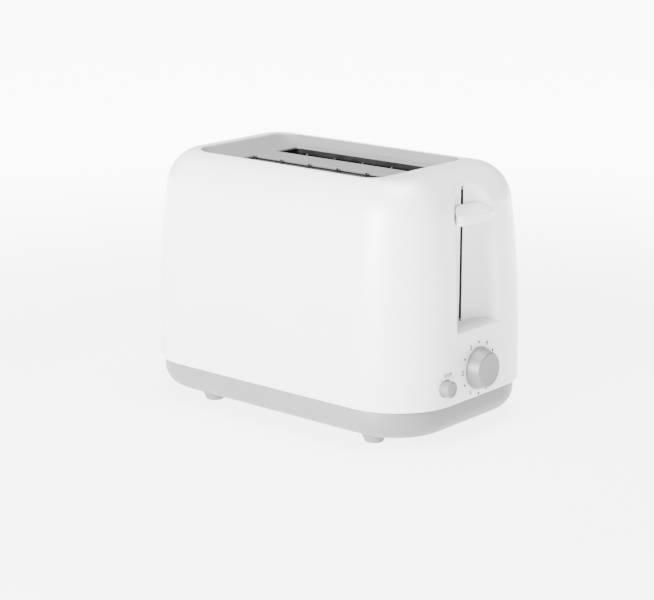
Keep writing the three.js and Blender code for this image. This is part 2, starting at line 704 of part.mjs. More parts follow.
function makeGuard(y) {
  const inner = Math.abs(y) < slotY;
  const top = HEIGHT - (inner ? INNER_GUARD_DROP : OUTER_GUARD_DROP);
  const tip = inner ? slotPlane + INNER_TIP_RISE : top;
  const reach = SLOT_LENGTH / 2 - 2.5;
  const pivot = bulkheadX + SHEET + 2;
  const parts = [
    rod(WIRE_RADIUS, [-pivot, y, GUARD_PIVOT_HEIGHT], [pivot, y, GUARD_PIVOT_HEIGHT], 6),
    rod(WIRE_RADIUS, [-reach - WIRE_RADIUS, y, top], [reach + WIRE_RADIUS, y, top], 6),
  ];
  for (let i = 0; i < GUARD_WIRES; i++) {
    const x = -reach + (i * 2 * reach) / (GUARD_WIRES - 1);
    parts.push(rod(WIRE_RADIUS * 0.9, [x, y, GUARD_PIVOT_HEIGHT], [x, y, tip], 6));
  }
  return join(parts);
}

// ---------- Dial, button and board ----------
function makeDial() {
  const back = endX + DIAL_CLEARANCE;
  const front = endX + DIAL_REACH;
  const bore = SHAFT_RADIUS + GAP;
  const outline = [
    [0, back + 6],
    [bore, back + 6],
    [bore, back],
    [DIAL_RADIUS, back],
    [DIAL_RADIUS, back + 1.4],
    [DIAL_FACE_RADIUS + 1.9, front - 2.4],
    [DIAL_FACE_RADIUS + 1.3, front - 0.9],
    [DIAL_FACE_RADIUS, front],
    [0, front],
  ];
  return turnedX(outline, 0, DIAL_HEIGHT, 32);
}

const potFront = boardX + BOARD_THICKNESS + GAP + 7;

const makeDialShaft = () =>
  rod(SHAFT_RADIUS, [potFront + GAP, 0, DIAL_HEIGHT], [endX + DIAL_CLEARANCE + 5.6, 0, DIAL_HEIGHT], 16);

function makeStopButton() {
  const front = endX + BUTTON_REACH;
  const stemEnd = boardX + BOARD_THICKNESS + GAP + 5 + BUTTON_TRAVEL;
  const outline = [
    [0, stemEnd],
    [2.5, stemEnd],
    [2.5, endX - 8],
    [BUTTON_RADIUS + 1.6, endX - 8],
    [BUTTON_RADIUS + 1.6, endX - 6],
    [BUTTON_RADIUS, endX - 6],
    [BUTTON_RADIUS, front - 1],
    [BUTTON_RADIUS - 1, front],
    [0, front],
  ];
  return turnedX(outline, BUTTON_Y, BUTTON_HEIGHT, 24);
}

function makeBoard() {
  const plate = box(boardX, boardX + BOARD_THICKNESS, BOARD_LEFT, BOARD_RIGHT, BOARD_BOTTOM, BOARD_TOP);
  const holes = [BOARD_LEFT + 5, BOARD_RIGHT - 5].map((y) =>
    rod(SCREW_RADIUS + GAP, [boardX - 1, y, BOARD_BOTTOM + BOARD_SCREW_RISE], [boardX + 3, y, BOARD_BOTTOM + BOARD_SCREW_RISE], 12),
  );
  return plate.subtract(join(holes));
}

const onBoard = boardX + BOARD_THICKNESS + GAP;

const makePot = () => box(onBoard, potFront, -8, 8, DIAL_HEIGHT - 8, DIAL_HEIGHT + 8);

function makeStopSwitch() {
  const body = box(onBoard, onBoard + 3.6, BUTTON_Y - 4, BUTTON_Y + 4, BUTTON_HEIGHT - 4, BUTTON_HEIGHT + 4);
  const plunger = rod(1.7, [onBoard + 3, BUTTON_Y, BUTTON_HEIGHT], [onBoard + 4.7, BUTTON_Y, BUTTON_HEIGHT], 12);
  return body.add(plunger);
}

const makeTimerChip = () => box(onBoard, onBoard + 2.5, -24, -14, BOARD_BOTTOM + 24, BOARD_BOTTOM + 32);
const makeCapacitor = () => rod(5, [onBoard, 16, BOARD_BOTTOM + 30], [onBoard + 12, 16, BOARD_BOTTOM + 30], 16);

// ---------- Magnet and contacts ----------
function makeMagnetCore() {
  const half = MAGNET_SIZE / 2;
  const foot = MAGNET_TOP - MAGNET_HEIGHT + GAP;
  const yoke = box(magnetX - half, magnetX + half, MAGNET_Y - half, MAGNET_Y + half, foot, foot + 4);
  const legs = [-half, half - 2, -2].map((y, i) => {
    const width = i === 2 ? 4 : 2;
    return box(magnetX - 3, magnetX + 3, MAGNET_Y + y, MAGNET_Y + y + width, foot + 3, MAGNET_TOP);
  });
  return join([yoke, ...legs]);
}

function makeMagnetCoil() {
  const low = MAGNET_TOP - MAGNET_HEIGHT + GAP + 4 + GAP;
  const high = MAGNET_TOP - 2;
  const coil = box(magnetX - 6, magnetX + 6, MAGNET_Y - 4.6, MAGNET_Y + 4.6, low, high);
  return coil.subtract(box(magnetX - 3.3, magnetX + 3.3, MAGNET_Y - 2.3, MAGNET_Y + 2.3, low - 1, high + 1));
}

const contactY = [-slotY - 9, -slotY + 1];
const contactX = rodX - 2;

function makeContactBlock() {
  const floor = baseFloor + GAP;
  const low = box(contactX, contactX + 16, ...contactY, floor, 18);
  return low.add(box(contactX + 11, contactX + 16, ...contactY, floor, 25));
}

const makeLowerLeaf = () => box(contactX - 2, contactX + 10.4, contactY[0] + 2, contactY[1] - 2, 18.3, 18.9);
const makeUpperLeaf = () => box(contactX - 2, contactX + 16, contactY[0] + 2, contactY[1] - 2, 25.3, 25.9);

const terminalX = bayX + 4;
const makeTerminalBlock = () => box(terminalX, terminalX + 16, 42, 54, baseFloor + GAP, 20);

// ---------- Mains inlet and leads ----------
function makeGland() {
  const face = -endX - GAP;
  const outline = [
    [GLAND_BORE, face - GLAND_FLANGE],
    [GLAND_RADIUS + 2, face - GLAND_FLANGE],
    [GLAND_RADIUS + 3, face],
    [GLAND_RADIUS, face],
    [GLAND_RADIUS, face + WALL + 5],
    [GLAND_BORE, face + WALL + 5],
    [GLAND_BORE, face - GLAND_FLANGE],
  ];
  return turnedX(outline, GLAND_Y, GLAND_HEIGHT, 20);
}

// A lead from behind the gland, round the chamber, to the terminal block.
function makeLead(number) {
  const side = number === 0 ? -1 : 1;
  const z = GLAND_HEIGHT + side * 2;
  const run = CHAMBER_HALF_WIDTH + 6 + LEAD_RADIUS;
  const low = CHAMBER_FLOOR + 6 + 2 * side;
  const end = terminalX + 8 + side * 4;
  const route = [
    [-endX + 12, GLAND_Y, z],
    [-endX + 22, GLAND_Y + 4, z],
    [-endX + 40, 42, z - 4],
    [-bulkheadX - 7, 57, low + 4],
    [-bulkheadX + 5, run, low],
    [0, run, low],
    [bulkheadX - 5, run, low],
    [terminalX + 2 + side * 3, 58, low],
    [end, 49, 27],
    [end, 48, 24],
    [end, 48, 20.6],
  ];
  const path = new THREE.CatmullRomCurve3(route.map((p) => new THREE.Vector3(...p)), false, "centripetal");
  return alongCurve(path, LEAD_RADIUS, 28, 6);
}

// ---------- Crumb tray ----------
const trayRear = -endX + BASE_INSET + TRAY_HANDLE_DEPTH;

function makeTrayPan() {
  const start = trayRear + GAP;
  const end = start + TRAY_LENGTH;
  const pan = box(start, end, -TRAY_HALF_WIDTH, TRAY_HALF_WIDTH, TRAY_BOTTOM, TRAY_BOTTOM + TRAY_DEPTH);
  const inside = TRAY_HALF_WIDTH - THIN_SHEET;
  const hollow = box(start + THIN_SHEET, end - THIN_SHEET, -inside, inside, TRAY_BOTTOM + THIN_SHEET, 40);
  return pan.subtract(hollow);
}

function makeTrayHandle() {
  const [half, bottom, top] = trayHandleBox(TRAY_CLEARANCE);
  const body = loft(baseRings(0, baseTop)).intersect(box(-endX - 1, trayRear, -half, half, bottom, top));
  const lip = box(-endX - TRAY_LIP_REACH, -endX + 8, -22, 22, top - 3, top);
  return body.add(lip);
}

// ---------- Screws ----------
function makeCaseScrew(sx, sy) {
  const headTop = BASE_BOTTOM + SCREW_HEAD_ROOM - GAP;
  const headBottom = headTop - SCREW_HEAD_HEIGHT;
  const outline = [
    [0, headBottom],
    [SCREW_HEAD_RADIUS, headBottom],
    [SCREW_HEAD_RADIUS, headTop],
    [SCREW_RADIUS, headTop],
    [SCREW_RADIUS, baseTop + 9],
    [0, baseTop + 11],
  ];
  const screw = turnedZ(outline, sx * screwX, sy * screwY, 12);
  const cross = [
    [2, 0.4],
    [0.4, 2],
  ].map(([a, b]) =>
    box(sx * screwX - a, sx * screwX + a, sy * screwY - b, sy * screwY + b, headBottom - 1, headBottom + 1.2),
  );
  return screw.subtract(join(cross));
}

function makeBoardScrew(y) {
  const z = BOARD_BOTTOM + BOARD_SCREW_RISE;
  const outline = [
    [0, boardX - 4],
    [SCREW_RADIUS - 0.5, boardX - 4],
    [SCREW_RADIUS - 0.5, onBoard],
    [SCREW_HEAD_RADIUS - 0.6, onBoard],
    [SCREW_HEAD_RADIUS - 0.6, onBoard + 1.8],
    [0, onBoard + 1.8],
  ];
  return turnedX(outline, y, z, 12);
}

// ---------- Assembly ----------
const toaster = new THREE.Group();
const glandReach = GAP + GLAND_FLANGE;
const rearReach = endX + Math.max(glandReach, TRAY_LIP_REACH);
toaster.position.x = (rearReach - (endX + DIAL_REACH)) / 2;

function place(name, shape, material, parent = toaster) {
  const mesh = new THREE.Mesh(geometryOf(shape), material);
  mesh.name = name;
  parent.add(mesh);
}

place("outer_shell", makeShell(), materials.whitePlastic);
place("top_insert", makeTopInsert(), materials.greyPlastic);
place("base", makeBase(), materials.baseGrey);
const feet = { foot_front_left: [-1, -1], foot_front_right: [1, -1], foot_rear_right: [1, 1], foot_rear_left: [-1, 1] };
for (const [name, [sx, sy]] of Object.entries(feet)) {
  const x = FEET_SHIFT_X + (sx * FOOT_SPREAD_X) / 2;
  place(name, makeFoot(x, (sy * FOOT_SPREAD_Y) / 2), materials.rubber);
}

const carriage = new THREE.Group();
toaster.add(carriage);
place("lever_knob", makeLeverKnob(), materials.whitePlastic, carriage);
place("lever_arm", makeLeverArm(), materials.steel, carriage);
place("carriage_plate", makeCarriage(), materials.steel, carriage);
place("bread_rack_front", makeBreadRack(-slotY), materials.galvanised, carriage);
place("bread_rack_rear", makeBreadRack(slotY), materials.galvanised, carriage);
place("armature", makeArmature(), materials.steel, carriage);

const dial = new THREE.Group();
toaster.add(dial);
place("browning_knob", makeDial(), materials.greyPlastic, dial);
place("dial_shaft", makeDialShaft(), materials.darkPlastic, dial);

place("stop_button", makeStopButton(), materials.greyPlastic);

const tray = new THREE.Group();
toaster.add(tray);
place("crumb_tray_pan", makeTrayPan(), materials.galvanised, tray);
place("crumb_tray_handle", makeTrayHandle(), materials.baseGrey, tray);

place("front_bulkhead", makeBulkhead(1), materials.galvanised);
place("rear_bulkhead", makeBulkhead(-1), materials.galvanised);
place("reflector_front", makeReflector(-1), materials.galvanised);
place("reflector_rear", makeReflector(1), materials.galvanised);
place("mica_board_front", makeMicaBoard(-HEATER_Y), materials.mica);
place("mica_board_middle", makeMicaBoard(0), materials.mica);
place("mica_board_rear", makeMicaBoard(HEATER_Y), materials.mica);
place("ribbon_front_outer", makeRibbon(-HEATER_Y, 1), materials.nichrome);
place("ribbon_front_inner", makeRibbon(0, -1), materials.nichrome);
place("ribbon_rear_inner", makeRibbon(0, 1), materials.nichrome);
place("ribbon_rear_outer", makeRibbon(HEATER_Y, -1), materials.nichrome);
for (const [name, y] of Object.entries(guardYs)) {
  place(name, makeGuard(y), materials.steel);
}

place("guide_rod", makeGuideRod(), materials.steel);
place("return_spring", makeSpring(), materials.steel);
place("magnet_core", makeMagnetCore(), materials.steel);
place("magnet_coil", makeMagnetCoil(), materials.copper);
place("contact_block", makeContactBlock(), materials.darkPlastic);
place("contact_leaf_lower", makeLowerLeaf(), materials.copper);
place("contact_leaf_upper", makeUpperLeaf(), materials.copper);
place("terminal_block", makeTerminalBlock(), materials.darkPlastic);
place("control_board", makeBoard(), materials.board);
place("browning_potentiometer", makePot(), materials.darkPlastic);
place("stop_switch", makeStopSwitch(), materials.darkPlastic);
place("timer_chip", makeTimerChip(), materials.darkPlastic);
place("capacitor", makeCapacitor(), materials.darkPlastic);
place("cord_gland", makeGland(), materials.darkPlastic);
place("live_lead", makeLead(0), materials.leadWhite);
place("neutral_lead", makeLead(1), materials.leadWhite);
corners.forEach(([sx, sy], i) => place(`case_screw_${i + 1}`, makeCaseScrew(sx, sy), materials.steel));
place("board_screw_1", makeBoardScrew(BOARD_LEFT + 5), materials.steel);
place("board_screw_2", makeBoardScrew(BOARD_RIGHT - 5), materials.steel);

export default toaster;
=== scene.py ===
import math

import bmesh
import bpy
import numpy as np
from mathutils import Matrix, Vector


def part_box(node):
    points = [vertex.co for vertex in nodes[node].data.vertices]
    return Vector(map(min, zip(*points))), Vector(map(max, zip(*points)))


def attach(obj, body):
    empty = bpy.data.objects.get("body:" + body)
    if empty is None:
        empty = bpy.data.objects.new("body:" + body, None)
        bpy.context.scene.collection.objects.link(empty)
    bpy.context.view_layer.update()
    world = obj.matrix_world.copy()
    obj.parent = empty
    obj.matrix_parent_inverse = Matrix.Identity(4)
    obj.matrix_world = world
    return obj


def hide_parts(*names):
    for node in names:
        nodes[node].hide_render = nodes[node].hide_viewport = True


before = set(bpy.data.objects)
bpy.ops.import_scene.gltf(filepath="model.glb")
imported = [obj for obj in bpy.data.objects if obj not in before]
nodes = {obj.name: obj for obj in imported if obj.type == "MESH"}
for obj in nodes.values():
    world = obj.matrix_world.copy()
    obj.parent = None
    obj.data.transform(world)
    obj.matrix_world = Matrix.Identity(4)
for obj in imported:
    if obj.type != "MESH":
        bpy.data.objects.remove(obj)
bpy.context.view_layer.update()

MM = 0.001
TURN = 2 * math.pi

# ---------- Sizes, in millimetres; overall sizes come from the frame ----------
shell_low, shell_high = [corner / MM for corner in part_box("outer_shell")]
base_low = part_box("base")[0] / MM
MIDDLE_X = (shell_low.x + shell_high.x) / 2  # the housing's middle along X
HALF_LENGTH = round((shell_high.x - shell_low.x) / 2, 1)
HALF_WIDTH = round((shell_high.y - shell_low.y) / 2, 1)
HEIGHT = shell_high.z
SHELL_BOTTOM = shell_low.z
BASE_BOTTOM = base_low.z

WALL = 2.4
CORNER_RADIUS = 47.8
CORNER_TIGHTENING = 1.07
SMALLEST_CORNER = 6
LEAN = 11.55
LEAN_POWER = 2.75
LEAN_START = 14.4
TOP_RADIUS = 25.8
SHOULDER = HEIGHT - TOP_RADIUS

OPENING_HALF_X = 84
OPENING_HALF_Y = 51.5
OPENING_CORNER = 13
OPENING_SHIFT = -7
RIM_FILLET = 0.7
RIM_DROP = 1.9
DISH_DEPTH = 7.7
SLOT_HALF_LENGTH = 68.5
SLOT_HALF_WIDTH = 12.85
SLOT_Y = 24.45
SLOT_CORNER = 3
FLOOR_CORNER = 6

CHANNEL_RADIUS = 26.2
CHANNEL_DEPTH = 17
CHANNEL_AXIS = HALF_LENGTH - CHANNEL_DEPTH + CHANNEL_RADIUS
LEDGE = 77.5
LEDGE_EDGE = 1.0  # rounding of the ledge's front edge
LEDGE_FILLET = 3.0
CHANNEL_EDGE = 2.6  # width over which the channel's rim is rounded
SLIT_HALF = 1.5
SLIT_TOP = HEIGHT - 9.3

BASE_INSET = 3.3
BASE_EDGE = 14
DIAL_HEIGHT = 48.8
BUTTON_Y = -36.8
BUTTON_HEIGHT = 42.3
BUTTON_RADIUS = 5.8
GLAND_Y = 22
GLAND_HEIGHT = 40


# ---------- Materials ----------
class Shader:
    """A principled material with small helpers for procedural detail in object coordinates."""

    def __init__(self, name, roughness, metallic=0.0):
        self.material = bpy.data.materials.new(name)
        self.material.use_nodes = True
        self.tree = self.material.node_tree
        self.principled = self.tree.nodes["Principled BSDF"]
        self.principled.inputs["Metallic"].default_value = metallic
        self.principled.inputs["Roughness"].default_value = roughness
        self.place = self.add("ShaderNodeTexCoord").outputs["Object"]

    def add(self, kind, **settings):
        node = self.tree.nodes.new(kind)
        for key, value in settings.items():
            setattr(node, key, value)
        return node

    def link(self, source, target):
        self.tree.links.new(source, target)

    def stretched(self, scale):
        mapping = self.add("ShaderNodeMapping")
        mapping.inputs["Scale"].default_value = scale
        self.link(self.place, mapping.inputs["Vector"])
        return mapping.outputs["Vector"]

    def noise(self, scale, detail=3.0, vector=None):
        node = self.add("ShaderNodeTexNoise")
        node.inputs["Scale"].default_value = scale
        node.inputs["Detail"].default_value = detail
        self.link(vector or self.place, node.inputs["Vector"])
        return node.outputs["Fac"]

    def voronoi(self, scale, vector=None):
        node = self.add("ShaderNodeTexVoronoi")
        node.inputs["Scale"].default_value = scale
        self.link(vector or self.place, node.inputs["Vector"])
        return node

    def ramp(self, factor, stops):
        node = self.add("ShaderNodeValToRGB")
        ramp = node.color_ramp
        while len(ramp.elements) < len(stops):
            ramp.elements.new(0.5)
        for element, (position, color) in zip(ramp.elements, stops):
            element.position = position
            element.color = (*color, 1.0)
        self.link(factor, node.inputs["Fac"])
        return node.outputs["Color"]

    def between(self, factor, low, high):
        node = self.add("ShaderNodeMapRange")
        node.inputs["To Min"].default_value = low
        node.inputs["To Max"].default_value = high
        self.link(factor, node.inputs["Value"])
        return node.outputs["Result"]

    def color(self, factor, dark, light, low=0.3, high=0.7):
        self.link(self.ramp(factor, [(low, dark), (high, light)]), self.principled.inputs["Base Color"])

    def rough(self, factor, low, high):
        self.link(self.between(factor, low, high), self.principled.inputs["Roughness"])

    def bump(self, factor, strength, distance_mm):
        node = self.add("ShaderNodeBump")
        node.inputs["Strength"].default_value = strength
        node.inputs["Distance"].default_value = distance_mm * MM
        self.link(factor, node.inputs["Height"])
        self.link(node.outputs["Normal"], self.principled.inputs["Normal"])

    def set(self, **values):
        for key, value in values.items():
            self.principled.inputs[key.replace("_", " ")].default_value = value


def grey(value, tint=0.0):
    return (value, value, value + tint)


def plastic(name, low, high, roughness, grain_mm, grain_strength, tint=0.0):
    """Moulded plastic: a faint cloudiness, fine mould texture and uneven gloss."""
    shader = Shader(name, roughness)
    shader.color(shader.noise(18), grey(low, tint), grey(high, tint))
    shader.rough(shader.noise(260, 4), roughness - 0.04, roughness + 0.06)
    shader.bump(shader.noise(1 / (grain_mm * MM), 2), grain_strength, 0.02)
    return shader


def make_white():
    shader = plastic("white_housing_plastic", 0.51, 0.53, 0.34, 0.9, 0.08)
    shader.set(Coat_Weight=0.6, Coat_Roughness=0.38)
    return shader.material


def make_grey():
    return plastic("grey_satin_plastic", 0.10, 0.108, 0.42, 0.5, 0.14, 0.003).material


def make_insert_grey():
    return plastic("insert_grey_plastic", 0.115, 0.125, 0.5, 0.5, 0.14, 0.002).material


def make_base_grey():
    return plastic("base_grey_plastic", 0.108, 0.117, 0.42, 0.5, 0.14, 0.003).material


def make_foot():
    return plastic("foot_rubber", 0.10, 0.12, 0.75, 0.4, 0.35).material


def make_dark_plastic():
    return plastic("dark_moulded_plastic", 0.018, 0.028, 0.5, 0.4, 0.3).material


def make_print():
    shader = plastic("printed_ink", 0.008, 0.014, 0.8, 0.3, 0.1)
    shader.set(Specular_IOR_Level=0.2)
    return shader.material


def make_steel():
    """Zinc-plated steel with a fine drawn grain."""
    shader = Shader("zinc_plated_steel", 0.34, 1.0)
    drawn = shader.noise(220, 4, shader.stretched((1, 12, 1)))
    shader.color(drawn, (0.42, 0.43, 0.45), (0.60, 0.61, 0.63))
    shader.rough(shader.noise(90), 0.26, 0.46)
    shader.bump(drawn, 0.15, 0.03)
    return shader.material


def make_chamber_steel():
    """Sheet steel painted near black as the shade inside the slots, with the spangle of its zinc coat
    showing through.
    """
    shader = Shader("chamber_sheet_painted_shade", 0.55, 0.2)
    spangle = shader.voronoi(140).outputs["Color"]
    # Painted shade: the near-black base colour stands in for the unlit inside of the slots.
    shader.color(spangle, (0.005, 0.0047, 0.0045), (0.011, 0.0105, 0.010))
    shader.rough(spangle, 0.5, 0.7)
    shader.bump(shader.noise(500, 4), 0.12, 0.03)
    shader.set(Specular_IOR_Level=0.25)
    return shader.material


def make_tray_steel():
    shader = Shader("tray_sheet", 0.4, 1.0)
    spangle = shader.voronoi(120).outputs["Color"]
    shader.color(spangle, (0.40, 0.41, 0.42), (0.56, 0.57, 0.58))
    shader.rough(spangle, 0.3, 0.5)
    shader.bump(shader.noise(400, 4), 0.1, 0.03)
    return shader.material


def make_wire():
    """Drawn wire, its colour darkened partly by heat tint and partly as painted shade for the inside of the
    slots.
    """
    shader = Shader("drawn_wire_heat_tint_and_shade", 0.25, 1.0)
    # The dark base colour is partly heat tint and partly painted shade of the slots' interior.
    shader.color(shader.noise(60), (0.10, 0.095, 0.085), (0.22, 0.215, 0.205))
    shader.rough(shader.noise(300), 0.2, 0.42)
    shader.bump(shader.noise(900, 2), 0.1, 0.02)
    return shader.material


def make_mica():
    """Pressed mica: brown-gold flakes under a dull sheen."""
    shader = Shader("pressed_mica", 0.45)
    flakes = shader.voronoi(260).outputs["Color"]
    shader.color(flakes, (0.06, 0.04, 0.018), (0.13, 0.09, 0.045))
    shader.rough(flakes, 0.3, 0.6)
    shader.bump(flakes, 0.3, 0.05)
    shader.set(Sheen_Weight=0.1)
    return shader.material


def make_ribbon():
    shader = Shader("oxidised_ribbon", 0.45, 0.9)
    shader.color(shader.noise(120), (0.03, 0.026, 0.022), (0.07, 0.06, 0.055))
    shader.rough(shader.noise(300), 0.35, 0.6)
    shader.bump(shader.noise(800, 2), 0.15, 0.02)
    return shader.material


def make_copper():
    shader = Shader("enamelled_copper", 0.28, 1.0)
    wave = shader.add("ShaderNodeTexWave", bands_direction="Z")
    wave.inputs["Scale"].default_value = 420
    shader.link(shader.place, wave.inputs["Vector"])
    shader.color(wave.outputs["Fac"], (0.30, 0.10, 0.03), (0.62, 0.27, 0.10), 0.1, 0.9)
    shader.rough(shader.noise(200), 0.22, 0.4)
    shader.bump(wave.outputs["Fac"], 0.6, 0.2)
    return shader.material


def make_board():
    """Solder mask with faint tracks under it."""
    shader = Shader("solder_masked_board", 0.35)
    tracks = shader.voronoi(260, shader.stretched((1, 1, 0.4)))
    tracks.distance = "CHEBYCHEV"
    shader.color(tracks.outputs["Distance"], (0.02, 0.09, 0.035), (0.035, 0.16, 0.07))
    shader.rough(shader.noise(200), 0.28, 0.45)
    shader.bump(tracks.outputs["Distance"], 0.2, 0.05)
    return shader.material


def make_sleeve():
    """Braided glass sleeving."""
    shader = Shader("braided_sleeve", 0.7)
    checks = shader.voronoi(900)
    shader.color(checks.outputs["Distance"], (0.62, 0.61, 0.57), (0.36, 0.35, 0.33), 0.1, 0.6)
    shader.rough(shader.noise(200), 0.6, 0.8)
    shader.bump(checks.outputs["Distance"], 0.5, 0.15)
    shader.set(Sheen_Weight=0.2)
    return shader.material


WHITE = make_white()
GREY = make_grey()
INSERT_GREY = make_insert_grey()
BASE_GREY = make_base_grey()
FOOT = make_foot()
DARK = make_dark_plastic()
PRINT = make_print()
STEEL = make_steel()
CHAMBER_PAINTED_SHADE = make_chamber_steel()
TRAY_STEEL = make_tray_steel()
WIRE = make_wire()
MICA = make_mica()
RIBBON = make_ribbon()
COPPER = make_copper()
BOARD = make_board()
SLEEVE = make_sleeve()


# ---------- Mesh helpers; points are in millimetres about the housing's middle ----------
def new_object(name, points, faces, material):
    mesh = bpy.data.meshes.new(name)
    placed = [((p[0] + MIDDLE_X) * MM, p[1] * MM, p[2] * MM) for p in points]
    mesh.from_pydata(placed, [], faces)
    mesh.validate()
    obj = bpy.data.objects.new(name, mesh)
    bpy.context.scene.collection.objects.link(obj)
    mesh.materials.append(material)
    return obj


def tidy_mesh(obj, merge_mm=0.002):
    """Joins doubled points, drops collapsed faces and turns all faces outwards."""
    bm = bmesh.new()
    bm.from_mesh(obj.data)
    bmesh.ops.remove_doubles(bm, verts=bm.verts, dist=merge_mm * MM)
    bmesh.ops.dissolve_degenerate(bm, dist=merge_mm * MM, edges=bm.edges)
    bmesh.ops.recalc_face_normals(bm, faces=bm.faces)
    bm.to_mesh(obj.data)
    bm.free()


def shade(obj, angle=32):
    """Smooth shading with edges sharper than the angle kept crisp."""
    bm = bmesh.new()
    bm.from_mesh(obj.data)
    limit = math.radians(angle)
    for face in bm.faces:
        face.smooth = True
    for edge in bm.edges:
        edge.smooth = not (len(edge.link_faces) == 2 and edge.calc_face_angle(0) > limit)
    bm.to_mesh(obj.data)
    bm.free()
    return obj


def apply_modifiers(obj):
    bpy.context.view_layer.update()
    graph = bpy.context.evaluated_depsgraph_get()
    mesh = bpy.data.meshes.new_from_object(obj.evaluated_get(graph), depsgraph=graph)
    obj.modifiers.clear()
    obj.data = mesh
    return obj


def solidify(obj, thickness_mm):
    modifier = obj.modifiers.new("wall", "SOLIDIFY")
    modifier.thickness = thickness_mm * MM
    modifier.offset = -1
    return apply_modifiers(obj)


def cut(obj, *cutters):
    for cutter in cutters:
        modifier = obj.modifiers.new("cut", "BOOLEAN")
        modifier.operation = "DIFFERENCE"
        modifier.solver = "EXACT"
        modifier.object = cutter
        apply_modifiers(obj)
        bpy.data.objects.remove(cutter)
    return obj


def keep_inside(obj, cutter):
    modifier = obj.modifiers.new("keep", "BOOLEAN")
    modifier.operation = "INTERSECT"
    modifier.solver = "EXACT"
    modifier.object = cutter
    apply_modifiers(obj)
    bpy.data.objects.remove(cutter)
    return obj


def bevel(obj, width_mm, segments=2, angle=30):
    modifier = obj.modifiers.new("soft_edges", "BEVEL")
    modifier.width = width_mm * MM
    modifier.segments = segments
    modifier.limit_method = "ANGLE"
    modifier.angle_limit = math.radians(angle)
    return obj


def grid_faces(rows, columns, wrap=True, skip=lambda i, j: False):
    faces = []
    for i in range(rows - 1):
        for j in range(columns if wrap else columns - 1):
            if skip(i, j):
                continue
            k = (j + 1) % columns
            faces.append((i * columns + j, i * columns + k, (i + 1) * columns + k, (i + 1) * columns + j))
    return faces


def loft(name, rings, material, cap_start=True, cap_end=True):
    count = len(rings[0])
    faces = grid_faces(len(rings), count)
    if cap_start:
        faces.append(tuple(reversed(range(count))))
    if cap_end:
        last = (len(rings) - 1) * count
        faces.append(tuple(range(last, last + count)))
    obj = new_object(name, [p for ring in rings for p in ring], faces, material)
    tidy_mesh(obj)
    return obj


def arc(centre, radius, start, end, steps):
    """Points on an arc in a plane, angles in degrees."""
    points = []
    for i in range(steps + 1):
        angle = math.radians(start + (end - start) * i / steps)
        points.append((centre[0] + radius * math.cos(angle), centre[1] + radius * math.sin(angle)))
    return points


def turned(name, profile, axis, centre, material, sides=96):
    """A turned piece. Profile points are (radius, along); axis is "X" or "Z"; centre is on that axis."""
    rings = []
    for radius, along in profile:
        ring = []
        for i in range(sides):
            a = max(radius, 0.001) * math.cos(TURN * i / sides)
            b = max(radius, 0.001) * math.sin(TURN * i / sides)
            if axis == "X":
                ring.append((along, centre[0] + a, centre[1] + b))
            else:
                ring.append((centre[0] + a, centre[1] + b, along))
        rings.append(ring)
    closed = profile[0] == profile[-1]
    return loft(name, rings, material, not closed, not closed)


def block(name, low, high, material=None):
    points = [(x, y, z) for x in (low[0], high[0]) for y in (low[1], high[1]) for z in (low[2], high[2])]
    faces = [(0, 1, 3, 2), (4, 6, 7, 5), (0, 4, 5, 1), (2, 3, 7, 6), (0, 2, 6, 4), (1, 5, 7, 3)]
    obj = new_object(name, points, faces, material or DARK)
    tidy_mesh(obj)
    return obj


def rounded_ring(half_x, half_y, radius, z, shift_x=0.0, shift_y=0.0, steps=16):
    ring = []
    for quarter in range(4):
        sx = 1 if quarter in (0, 3) else -1
        sy = 1 if quarter < 2 else -1
        for i in range(steps + 1):
            angle = (quarter + i / steps) * math.pi / 2
            x = shift_x + sx * (half_x - radius) + radius * math.cos(angle)
            y = shift_y + sy * (half_y - radius) + radius * math.sin(angle)
            ring.append((x, y, z))
    return ring


def finish_piece(obj, body, slot, *replaced):
    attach(obj, body)
    if replaced:
        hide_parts(*replaced)
    return obj


# ---------- Housing surface ----------
def lean(z):
    return LEAN * np.maximum(0, (z - LEAN_START) / (HEIGHT - LEAN_START)) ** LEAN_POWER


SHOULDER_SLOPE = float(lean(SHOULDER) - lean(SHOULDER - 1)) * 0.6


def inset_at(z):
    """How far the surface stands in from the housing's foot at a height."""
    rise = np.clip((np.asarray(z, float) - SHOULDER) / TOP_RADIUS, 0, 1)
    fall = TOP_RADIUS * (1 - np.sqrt(1 - rise**2))
    return lean(np.minimum(z, SHOULDER)) + fall + SHOULDER_SLOPE * TOP_RADIUS * rise


TABLE_Z = HEIGHT - TOP_RADIUS * (1 - np.sin(np.linspace(0, math.pi / 2, 400)))
TABLE_INSET = inset_at(TABLE_Z)


def plan(inset):
    """Half length, half width and corner radius of the housing's section."""
    corner = np.maximum(CORNER_RADIUS - CORNER_TIGHTENING * inset, SMALLEST_CORNER)
    return HALF_LENGTH - inset, HALF_WIDTH - inset, corner


def height_at(x, y):
    """Height of the housing's top surface over a point, by bisection on the inset."""
    low = np.zeros_like(x)
    high = np.full_like(x, TABLE_INSET[-1])
    for _ in range(40):
        middle = (low + high) / 2
        half_x, half_y, corner = plan(middle)
        dx = np.abs(x) - (half_x - corner)
        dy = np.abs(y) - (half_y - corner)
        beyond = np.hypot(np.maximum(dx, 0), np.maximum(dy, 0))
        outside = beyond + np.minimum(np.maximum(dx, dy), 0) - corner
        high = np.where(outside > 0, middle, high)
        low = np.where(outside > 0, low, middle)
    return np.interp(low, TABLE_INSET, TABLE_Z)


def smooth_min(a, b, width):
    h = np.maximum(width - np.abs(a - b), 0) / width
    return np.minimum(a, b) - h * h * width / 4


def channel_wall(y):
    inside = np.minimum(np.abs(y), CHANNEL_RADIUS - 0.4)
    wall = CHANNEL_AXIS - np.sqrt(CHANNEL_RADIUS**2 - inside**2)
    return wall + (np.abs(y) - inside) * 8


